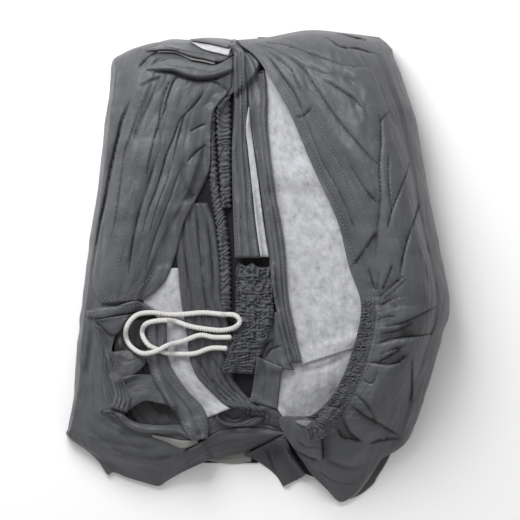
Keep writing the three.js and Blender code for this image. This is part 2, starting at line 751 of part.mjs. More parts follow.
for (const piece of LAID_PIECES) {
  if (piece.leg) {
    const leg = legs[piece.leg];
    drape(leg, support, GAP + LEG_DEPTH);
    const turns = turnRows(edges[piece.leg], opposite[piece.leg]);
    [leg, offset(leg, -CLOTH), turns].forEach((face) => support.cover(face));
  } else {
    const rows = stripRows(piece);
    drape(rows, support, GAP);
    raiseStrip(rows, piece);
    seat(rows, support);
    const upper = lift(rows, piece.thickness);
    cover.add(node(piece.name, piece.finish, solidBetween(upper, rows)));
    support.cover(upper);
  }
}

const wrap = wrapRows(legs, edges);
cover.add(node("shell_wrap", "shell", solidBetween(wrap, offset(wrap, -CLOTH))));
cover.add(node("tie_cord", "cord", cordGeometry(support)));

export default cover;
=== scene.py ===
"""A car cover folded into a loose bundle: cloth sheets, stitching and a braided cord."""

from dataclasses import dataclass

import bpy
import numpy as np
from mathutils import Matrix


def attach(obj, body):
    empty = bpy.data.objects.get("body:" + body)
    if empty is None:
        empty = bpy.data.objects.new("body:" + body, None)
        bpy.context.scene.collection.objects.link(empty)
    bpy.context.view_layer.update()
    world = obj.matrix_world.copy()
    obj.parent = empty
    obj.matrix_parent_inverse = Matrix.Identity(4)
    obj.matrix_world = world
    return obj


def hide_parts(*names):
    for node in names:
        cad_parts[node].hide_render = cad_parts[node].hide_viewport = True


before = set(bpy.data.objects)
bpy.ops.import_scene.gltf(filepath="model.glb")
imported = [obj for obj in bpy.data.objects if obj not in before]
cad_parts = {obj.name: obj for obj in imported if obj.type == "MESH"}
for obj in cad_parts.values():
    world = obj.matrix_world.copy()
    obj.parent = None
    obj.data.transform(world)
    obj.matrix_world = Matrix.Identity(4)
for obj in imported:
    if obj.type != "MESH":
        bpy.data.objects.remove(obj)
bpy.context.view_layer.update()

# Sizes in millimetres. Places are [across, down] on a square whose centre for the part is LAYOUT.
MM = 0.001
LAYOUT = np.array([258.0, 266.0])
SHELL = 1.6  # shell cloth with its bonded lining
FLEECE = 1.5
HEM = 2.6  # doubled cloth of a hem band
SEAM = 10.5  # the narrowest cut of a strip
LEAST_CUT = 0.301  # least share of its rectangle that a cut fills
GAP = 0.5  # between layers

# Points of the meshes and of the height map
SPACING = 1.1  # of the points on a sheet
FINE = 0.8  # of the points on gathered pieces
ELASTIC_SPACING = 0.75 * FINE
TURN_SPACING = 2.4  # round the sides and in the stack
COVER_SPACING = 0.6  # of the points that mark the height map
COARSE = 3  # a hidden face has one point for this many on the outer face
DENSE = 24  # curve points for each stretch between two sections
MAP_HALF = 270  # height map of what has been laid, in cells of 1 mm
SECTION_POINTS = 3 * DENSE  # curve points across a side of the wrap
LEAST_ROWS = 2  # least steps of a hidden face along a sheet
LEAST_COLUMNS = 3  # the same across a strip
LATTICE = 64  # random values along each side of a noise field
DRAPE_ROUNDS = 24
SETTLE_ROUNDS = 2
RING_STEP = 30  # degrees between the sections of a ring
TINY = 1e-9
QUARTER_TURN = np.array([[0, 1], [-1, 0]])
PROBE = 2  # row or column inside the edge where a sheet's facing is read

# Creases
SOFT_WIDTH = 3  # a crease at least this wide is a soft trough or ridge, a narrower one is sharp
SHARP = 0.75  # share of a sharp crease in its middle line
SHARP_WIDTH = 0.33  # of that line, in half widths
BROAD = 0.15  # share of a sharp crease in the trough round its line
BROAD_WIDTH = 2  # of that trough, in half widths
CREASE_REACH = 12  # half widths over which a crease counts
SNAP_REACH = 1  # the same for points that move onto its line
SNAPPED = 0.9 * SPACING  # points this near move onto the line
FIXED_EDGE = 2  # rows of points at the edges that stay
FADE = 1.7  # the larger, the nearer to its ends a crease is at full depth
FADE_POWER = 1.2
WAVER = 0.3  # share by which the depth wavers
WAVER_FIELD = 40  # length of the noise field along a crease
WAVER_SIZE = 7
LEAN = 0.7  # how far the cloth stands fuller on one side of a crease
LEAN_REACH = 11  # over which the fuller side falls back

# Unevenness of all cloth: rise, size and lengthwise stretch of each wave of noise
UNEVEN = [(1.8, 34, 0.6), (-1.6, 27, 0.6), (0.8, 14, 0.5), (-0.7, 11, 0.5)]
GRAIN = (0.2, 5, 0.6)

# Thin wrinkles along a cloth: rise and size of each wave of noise
DRAWN = [(1.1, 8), (-1.0, 6.5)]
DRAWN_STRETCH = 0.1
DRAWN_BEND = (3, 40)  # how far they bend, and over what size
DRAWN_PATCH = (0.6, 0.4, 30)  # least depth, what patches add to it, and their size

# Painted shade in creases, valleys and hollows, and on upright cloth
PAINTED_SHADE_DEPTH = 3.2  # a crease this deep gets the full painted shade
PAINTED_SHADE_POWER = 1.3
STEEP_PAINTED_SHADE = 0.6  # share of painted shade on cloth that stands upright
PLEAT_PAINTED_SHADE = (1.2, 1.6)  # depth from which a pleat's valleys get painted shade, and how strongly
# painted shade in the valleys between gathers
RUCHE_PAINTED_SHADE = 0.6
PAINTED_SHADE_TONE = 0.3  # of a place with full painted shade, as a share of the cloth's dark tone

# Looks: share of the finer pattern in each cloth's tone, and range of the shell's roughness
SPECKLE = 0.9
FLEECE_FIBRE = 0.5
CORD_RIBS = 0.5
GLOSS = (-0.08, 0.1)

# The two sides of the wrap
TURNS = {"left": 6, "right": 12}  # how far the shell bows out where it turns down at a side
FULL_TURN_HEIGHT = 42  # a side lower than this bows out less
TURN_FULLNESS = 1.44  # of the upper half of a turn
DENTS = (0.9, 20, 13)  # depth of the dents in a turn, length of their noise field in a radian, and size
DENT_HEIGHT = 20  # a side lower than this is dented less
FLOOR_STEPS = 12  # of the cloth that turns under the bundle
DRAPED_FROM = 0.3  # share of the full height from which a side rests on the stack
SIDE_HOLLOW = 6  # how far the hidden face lies below the cloth
SIDE_LEAST = 0.8  # least thickness of a side
CALM_EDGE = 4  # width of a side's edge where creases run out
CALM_LEVEL = 0.5  # cloth less level than this is creased less
CALM_POWER = 1.5
SIDE_SEEDS = {"crease": 10, "uneven": 3, "lengthways": 40, "sideways": 60, "dents": 80}

# Elastic in the right hem
ELASTIC_SPAN = (0.585, 0.85)  # share of the right hem that the elastic draws up
ELASTIC_LEAD = (0.05, 0.08)  # share before it where wrinkles turn sideways, and over which they do
ELASTIC_WRINKLES = (3.2, 55)  # strength of the wrinkles out from it, and their reach
LENGTHWAYS_LOSS = 0.7  # share of the lengthways wrinkles that it smooths out
ELASTIC_WIDTH = 25
ELASTIC_START = 0.64  # share of that width where the elastic starts
ELASTIC_ROWS = 3  # of stitching through the elastic
ELASTIC_PITCH = 2.6  # of its gathers
ELASTIC_STRAY = 1.1
ELASTIC_RUCHE = 3.2  # height of its gathers
ELASTIC_BODY = (0.4, 1.2)  # thickness at its edges, and added inside them
ELASTIC_DEPTH = 0.6  # how far it reaches into the side
ELASTIC_ROLL = 2.5
ELASTIC_BEND = (0.05, 9)  # how far its rows of stitching wander, and over what size
ELASTIC_CHANNEL = 0.6  # height of the gathers at a row of stitching, as a share
ELASTIC_MERGE = (0.35, 14, 0.7)  # share of its width, and length, where it merges into the side, and power
ELASTIC_PAINTED_SHADE = (2.6, 1.5)  # height below which its gathers get painted shade, and how strongly
ELASTIC_SEED = 71

# Laid strips
EDGE = 0.5  # thickness of a strip's outermost edge
THINNEST = 0.6  # of a strip in its creases
LAP_EDGE = 0.3  # thickness of a lapped strip where it lies flat
LAP_POWER = 0.8
LAP_TAPER = 25  # over which a lapped piece grows to its full height
END_SWELL = 0.15  # share of a strip's length by which its crown runs past each end
PLEAT_WAVER = (0.05, 30, 24)  # share of the width by which pleats wander, width of the noise, and size
GATHER_BENDS = [(1, 3), (0.5, 1.4)]  # share and size, in pitches, of each wave that bends gathers
RIBS = (0.6, 0.8)  # height and power of the even part of gathers
KNOTS = (0.5, 0.5, 0.7)  # height of their uneven part, its stretch across, and its size in pitches
CRUMPLES = (5, 3.4)  # sizes of crumples
CRUMPLE_MIDDLE = 0.5
SCALLOP_POWER = 3
SCALLOP_STRAY = (2, 9)  # radians by which a drawn edge wanders, and over what size
RAGGED_POWER = 4
RAGGED_SIZE = 6
LIFT_POWER = 3
STRIP_SEEDS = {"drawn": 5, "crumple": 7, "ragged": 9}  # added to a strip's own seed
FIRST_SEED = 90
SEED_STEP = 10

# Left side of the wrap: a section in each row, [across, down, height] at each of its points
LEFT_LEG = [
    # turned edge, rise, back, inner end, with more points in the last row
    [[117, 55, 3.4], [137, 46, 3.4], [170, 40, 3.4], [256, 39, 3.4]],
    [[115, 61, 23], [138, 51, 32], [171, 46, 35], [256, 46, 36]],
    [[116, 80, 40], [140, 74, 54], [168, 70, 57], [256, 70, 56]],
    [[111, 120, 44], [132, 120, 57], [160, 120, 57], [212, 118, 53]],
    [[103, 190, 44], [124, 190, 57], [155, 188, 57], [188, 186, 52]],
    [[95, 245, 42], [114, 245, 53], [140, 242, 52], [160, 238, 48]],
    [[87, 303, 38], [103, 303, 47], [120, 302, 46], [135, 300, 44]],
    [[82, 345, 35], [93, 345, 41], [103, 347, 42], [112, 348, 40]],
    [[79, 388, 32], [92, 393, 38], [106, 398, 39], [119, 402, 38]],
    [[71, 427, 22], [92, 432, 31], [113, 428, 39], [138, 426, 42]],
    [[68, 434, 16], [95, 443, 26], [121, 441, 36], [156, 428, 43]],
    [[73, 441, 13], [100, 454, 20], [132, 454, 34], [176, 431, 43]],
    [[89, 453, 8], [112, 467, 9], [154, 469, 22], [198, 442, 40]],
    [
        [100, 464, 5], [104, 472, 5], [108, 476, 5], [113, 473, 5], [125, 478, 5], [142, 483, 5],
        [158, 487, 5], [168, 481, 8], [188, 470, 14], [208, 461, 20],
    ],
]

# Right side of the wrap: a section in each row, [across, down, height] at each of its points
RIGHT_LEG = [
    # turned edge, flank, crown, slope, hem
    [[379, 36, 3.4], [347, 32, 3.4], [309, 29, 3.4], [268, 36, 3.4], [236, 39, 3.4]],
    [[380, 44, 30], [349, 37, 42], [312, 35, 46], [274, 41, 44], [240, 45, 40]],
    [[383, 58, 50], [354, 52, 68], [322, 50, 74], [288, 54, 72], [255, 57, 64]],
    [[391, 80, 58], [367, 75, 81], [337, 73, 89], [302, 75, 85], [268, 76, 76]],
    [[403, 116, 62], [382, 112, 88], [352, 110, 99], [320, 112, 92], [289, 113, 80]],
    [[413, 170, 64], [398, 166, 94], [370, 166, 104], [340, 168, 95], [313, 169, 80]],
    [[422, 222, 66], [410, 219, 96], [387, 219, 106], [361, 220, 96], [337, 222, 80]],
    [[431, 264, 64], [422, 262, 92], [400, 262, 104], [374, 262, 94], [348, 266, 78]],
    [[438, 304, 62], [425, 304, 88], [405, 304, 100], [383, 304, 92], [360, 303, 76]],
    [[430, 338, 56], [419, 342, 80], [400, 343, 92], [377, 343, 87], [354, 342, 72]],
    [[417, 382, 46], [402, 385, 66], [383, 388, 78], [360, 388, 75], [337, 386, 64]],
    [[407, 421, 34], [388, 424, 48], [362, 424, 60], [337, 420, 60], [312, 414, 56]],
    [[399, 445, 20], [372, 452, 28], [342, 456, 40], [309, 441, 50], [279, 420, 54]],
    [[377, 462, 9], [357, 492, 6], [341, 503, 5], [325, 488, 14], [310, 473, 26]],
]

# Top of the folded stack: a height for each place across, a row for each place down
STACK_ACROSS = [140, 190, 230, 270, 320, 370, 400]
STACK_TOP = [
    # down, left and right fold edge, heights
    (76, (146, 362), [44, 45, 46, 49, 56, 58, 48]),
    (110, (140, 384), [50, 50, 50, 56, 66, 70, 60]),
    (180, (134, 394), [50, 46, 46, 56, 68, 76, 68]),
    (250, (126, 406), [44, 42, 44, 56, 66, 76, 72]),
    (310, (120, 412), [36, 36, 42, 54, 62, 72, 70]),
    (360, (118, 402), [32, 34, 38, 46, 56, 62, 58]),
    (400, (124, 388), [30, 31, 33, 37, 44, 48, 44]),
    (430, (134, 368), [29, 29, 29, 30, 33, 35, 33]),
]
STACK_LAYERS = 7
STACK_ROWS = 70
STACK_STEPS = 26
FOLD_STEPS = 6
FOLD_SHIFTS = [2, -1, 3, -2, 1, -3]  # each fold edge stands a little in or out
STACK_BASE = 1.5 * HEM + GAP  # height of the lowest layer

# Creases of each cloth: rise in its middle, half width, and the line that it follows
CREASES = {
    "right": [
        (-3.2, 2.4, (254, 44), (276, 52), (300, 67), (316, 91), (339, 124), (365, 154), (378, 166)),
        (-2.6, 2.4, (266, 43), (290, 48), (313, 56), (345, 67), (370, 69)),
        (-2.2, 2.2, (262, 48), (287, 67), (296, 84), (301, 99)),
        (-1.6, 3.2, (300, 66), (322, 76), (340, 78), (358, 87)),
        (-2.8, 2.2, (321, 80), (336, 89), (354, 101), (362, 110)),
        (-3.0, 2.4, (324, 38), (340, 48), (358, 50), (380, 57)),
        (-2.8, 2.2, (338, 33), (352, 37), (366, 40)),
        (-2.2, 2.0, (388, 112), (382, 119), (378, 126)),
        (-2.4, 2.2, (346, 158), (356, 178), (368, 195), (379, 206)),
        (-2.6, 2.9, (377, 112), (380, 140), (378, 168), (379, 196), (376, 229), (373, 268)),
        (-2.2, 2.8, (387, 152), (387, 180), (389, 208)),
        (-2.9, 2.5, (408, 163), (399, 190), (390, 212), (385, 235)),
        (-3.2, 2.6, (424, 188), (411, 224), (403, 250), (397, 282)),
        (-2.9, 2.2, (378, 228), (366, 246), (358, 258), (350, 268)),
        (-2.6, 2.4, (264, 53), (283, 79), (296, 98), (304, 119)),
        (-2.4, 2.2, (306, 122), (321, 160), (337, 190), (350, 219), (357, 243)),
        (-2.4, 1.8, (293, 118), (303, 117), (315, 105)),
        (2.4, 7.0, (288, 62), (312, 100), (342, 142), (372, 190)),
        (1.8, 8.0, (330, 58), (368, 90), (388, 130), (392, 160)),
        (-2.0, 5.0, (300, 52), (320, 62), (352, 84), (370, 108)),
        (-3.4, 2.6, (375, 300), (390, 286), (402, 276)),
        (-2.8, 2.2, (376, 293), (371, 280), (368, 266)),
        (-2.2, 2.0, (379, 302), (391, 292), (404, 279)),
        (-2.0, 2.0, (377, 291), (377, 282), (379, 268)),
        (-2.6, 2.2, (380, 292), (386, 278), (392, 262)),
        (-3.0, 2.2, (376, 308), (388, 300), (400, 296)),
        (-3.0, 2.5, (374, 327), (398, 323), (420, 313), (436, 305)),
        (-4.6, 2.6, (370, 345), (393, 338), (419, 335), (444, 331)),
        (-2.0, 2.2, (378, 333), (396, 330), (412, 322)),
        (-2.4, 2.0, (377, 313), (388, 308), (398, 306)),
        (-2.2, 2.0, (377, 319), (386, 316), (394, 316)),
        (-3.0, 2.8, (366, 361), (392, 363), (408, 352)),
        (-2.2, 2.2, (378, 361), (390, 354), (401, 345)),
        (-2.2, 2.4, (362, 378), (371, 382), (379, 366)),
        (-3.4, 2.4, (355, 393), (367, 405), (378, 425)),
        (-4.0, 2.8, (350, 403), (363, 414), (379, 423), (402, 438)),
        (-3.4, 2.4, (341, 416), (350, 432), (365, 443)),
        (-3.0, 2.2, (335, 424), (342, 436), (350, 438), (362, 442)),
        (-4.4, 2.4, (321, 430), (322, 445), (323, 461)),
        (-2.6, 3.2, (321, 457), (336, 464), (350, 468), (374, 464)),
        (-2.6, 2.4, (410, 356), (411, 380), (411, 404), (408, 434)),
        (-2.4, 2.2, (294, 449), (308, 457), (322, 461)),
        (-2.2, 2.0, (298, 440), (306, 446), (318, 446)),
        (-2.2, 2.4, (366, 444), (384, 440), (402, 439)),
        (-2.2, 2.2, (374, 356), (392, 348), (406, 344)),
        (-2.4, 2.6, (318, 470), (336, 482), (356, 484)),
        (2.6, 6.0, (330, 448), (350, 456), (376, 448)),
        (-2.2, 3.0, (432, 232), (424, 262), (428, 292)),
    ],
    "left": [
        (-9.0, 2.9, (133, 97), (123, 119), (119, 136), (112, 166), (105, 201), (100, 223), (95, 250),
         (91, 274)),
        (2.0, 5.0, (124, 96), (113, 131), (106, 166), (99, 201), (94, 232)),
        (-5.0, 2.2, (160, 52), (148, 58), (137, 71)),
        (-4.4, 2.0, (140, 86), (150, 82), (163, 74)),
        (-2.2, 3.0, (92, 322), (89, 350), (84, 384)),
        (-1.7, 3.2, (104, 415), (118, 424), (136, 433), (158, 437), (182, 441)),
        (-1.4, 3.4, (88, 411), (104, 423), (122, 433), (140, 439)),
        (-2.2, 4.0, (84, 424), (104, 440), (130, 446), (164, 448)),
        (-2.4, 3.6, (100, 446), (126, 454), (156, 458), (190, 452)),
        (-2.0, 4.0, (106, 456), (132, 466), (160, 472)),
        (2.0, 5.0, (78, 432), (104, 448), (130, 470)),
    ],
    "left_hem_panel": [
        (-7.0, 2.8, (150, 73), (172, 73), (184, 78), (200, 81), (216, 79), (234, 72)),
        (-4.0, 2.4, (163, 77), (150, 82), (139, 87)),
        (-2.6, 2.0, (158, 82), (150, 103), (139, 126), (134, 142)),
        (-2.8, 2.0, (143, 101), (133, 131), (125, 154), (121, 182), (116, 219), (109, 250)),
        (-3.0, 2.0, (180, 75), (173, 85), (167, 103), (163, 120)),
        (-1.8, 1.8, (168, 104), (158, 130), (152, 152), (147, 176)),
        (-1.8, 1.8, (172, 164), (167, 183), (160, 200), (150, 232)),
        (-3.0, 2.2, (159, 152), (148, 187), (140, 212), (133, 245), (129, 276)),
        (-3.4, 2.1, (193, 99), (181, 120), (174, 139), (167, 156), (164, 167), (157, 190), (150, 208),
         (143, 232)),
        (-4.4, 2.0, (166, 56), (158, 60), (151, 67)),
        (-3.6, 2.0, (172, 57), (165, 61), (160, 66)),
        (-3.0, 2.0, (208, 87), (197, 103), (185, 117), (180, 134), (173, 162)),
        (-2.2, 2.2, (170, 82), (162, 105), (159, 131)),
        (-2.4, 2.4, (211, 81), (222, 87), (234, 96)),
        (-3.0, 2.2, (209, 123), (196, 129), (190, 133)),
        (-3.4, 2.4, (209, 143), (196, 153), (187, 163)),
        (-2.4, 3.0, (188, 152), (184, 175), (190, 192), (197, 202)),
        (3.4, 8.0, (200, 156), (198, 176), (202, 194)),
        (-1.8, 2.4, (180, 170), (170, 200), (156, 236), (146, 270)),
        (1.8, 6.0, (176, 166), (162, 200), (146, 240)),
        (1.6, 5.0, (138, 140), (130, 180), (120, 226)),
    ],
    "gathered_strip": [
        (-2.6, 1.8, (186, 205), (184, 240), (190, 290), (197, 330)),
        (-2.4, 1.8, (196, 203), (199, 240), (204, 290), (210, 330)),
        (-2.2, 1.8, (206, 212), (211, 250), (215, 300)),
        (-2.6, 2.0, (196, 357), (208, 376), (226, 400)),
        (-2.2, 2.0, (208, 352), (222, 372), (238, 398)),
        (-2.2, 2.0, (221, 348), (232, 366), (246, 384)),
    ],
    "pocket_cloth": [
        (-4.0, 6.0, (140, 322), (146, 360), (158, 400), (180, 424)),
        (-2.6, 2.4, (122, 336), (128, 344), (140, 348)),
        (2.4, 4.0, (118, 338), (124, 350), (134, 356)),
    ],
    "inner_fold": [(-1.6, 2.0, (118, 356), (128, 362), (140, 358))],
    "skirt_rim": [
        (-2.4, 1.6, (101, 411), (108, 409), (117, 413)),
        (-2.0, 1.6, (104, 414), (112, 413), (124, 420)),
    ],
    "facing_folds": [
        (-3.0, 2.0, (259, 352), (266, 344), (276, 338)),
        (-3.0, 2.0, (263, 360), (270, 350), (282, 345)),
    ],
    "lower_facing": [(-1.8, 2.2, (262, 356), (266, 378), (262, 402))],
    "corner_flap": [
        (-2.6, 2.0, (265, 443), (270, 460), (278, 480)),
        (1.8, 6.0, (282, 446), (290, 460), (296, 474)),
    ],
    "bottom_roll": [(-1.6, 3.0, (212, 452), (240, 444), (276, 436))],
    "end_folds": [
        (-2.6, 2.0, (257, 408), (259, 415), (257, 422)),
        (-2.8, 2.0, (262, 410), (264, 416), (262, 423)),
        (-2.4, 2.0, (267, 412), (270, 418), (268, 425)),
        (-2.0, 2.2, (224, 414), (234, 419), (242, 416)),
        (-2.2, 2.2, (262, 424), (272, 426), (282, 430)),
    ],
    "rolled_end": [
        (-2.6, 2.0, (240, 404), (246, 408), (244, 414)),
        (-2.6, 2.0, (250, 407), (250, 413), (246, 418)),
        (-2.2, 2.0, (256, 414), (250, 418), (244, 420)),
    ],
    "lining_upper": [
        (-1.4, 5.0, (300, 190), (318, 250), (326, 320)),
        (1.2, 9.0, (290, 160), (306, 230), (330, 300)),
        (-1.2, 4.0, (286, 110), (296, 150), (300, 190)),
        (2.4, 2.0, (291, 303), (293, 313), (294, 323), (296, 331)),
    ],
    "lining_lower": [
        (-1.4, 3.0, (300, 372), (326, 366), (346, 356)),
        (1.2, 7.0, (290, 392), (312, 388), (332, 380)),
    ],
    "top_flap": [(-1.6, 1.8, (164, 47), (186, 52), (214, 56))],
    "top_lip": [(-1.8, 1.6, (166, 66), (188, 69), (212, 73), (230, 66))],
}

# How far the cloth stands fuller on the left of a crease that starts here, where it shows
LEANS = {
    (321, 430): -2.6, (410, 356): 2.0, (294, 449): 1.8, (370, 345): -2.0,
    (350, 403): 2.0, (341, 416): 1.6, (366, 361): -1.8, (374, 327): 1.6, (424, 188): 1.2,
    (408, 163): 1.2, (254, 44): 1.2, (193, 99): 0.8, (159, 152): 0.9, (377, 112): 1.2,
    (266, 43): -1.2, (378, 228): -1.6, (375, 300): -1.4,
}

# 'inner' is a near-black cloth, painted shade for deep recesses; 'edge' is the lining dimmed, painted shade
# on lining edges; 'elastic' is the shell a little darker, painted shade of its gathers.
CLOTHS = {"shell": SHELL, "inner": SHELL, "lining": FLEECE, "edge": FLEECE, "elastic": HEM}  # thickness


@dataclass
class Strip:
    """A sheet laid on what is under it."""

    node: str
    sections: list  # across and down at one edge and at the other, or across, down and height at both
    finish: str = "shell"
    thickness: float = 0  # that of the finish where it is 0
    crown: float = 0  # rise of its middle
    painted_shade_share: float = 0  # least share of painted shade
    pleats: int = 0
    pleat: float = 0  # height of its pleats
    ruche: float = 0  # height of its gathers
    pitch: float = 0  # of its gathers
    stray: float = 1.4  # how far gathers stray, in pitches
    scallop: float = 0  # how far gathers draw its edges in and out
    crumple: float = 0  # height of the crumples at its first end
    ragged: float = 0  # how far its first end strays
    roll: float = 0  # width of its rounded edge, the thickness where it is 0
    lift: float = 0  # height of its free end
    lap: bool = False  # lies flat along one edge and one end
    hanging: bool = False  # its edges keep their slope
    fine: bool = False  # has closer points, as all elastic has
    extra: bool = False  # stands for no solid of its own

    def __post_init__(self):
        self.thickness = self.thickness or CLOTHS[self.finish]
        self.roll = self.roll or self.thickness
        self.fine = self.fine or self.finish == "elastic"


def ring(outer, outer_axes, inner, inner_axes):
    """Sections all round a ring, from its inner to its outer edge."""
    turns = np.radians(np.arange(0, 361, RING_STEP))
    around = np.stack([np.cos(turns), -np.sin(turns)], axis=1)
    return np.hstack([inner + around * inner_axes, outer + around * outer_axes]).tolist()


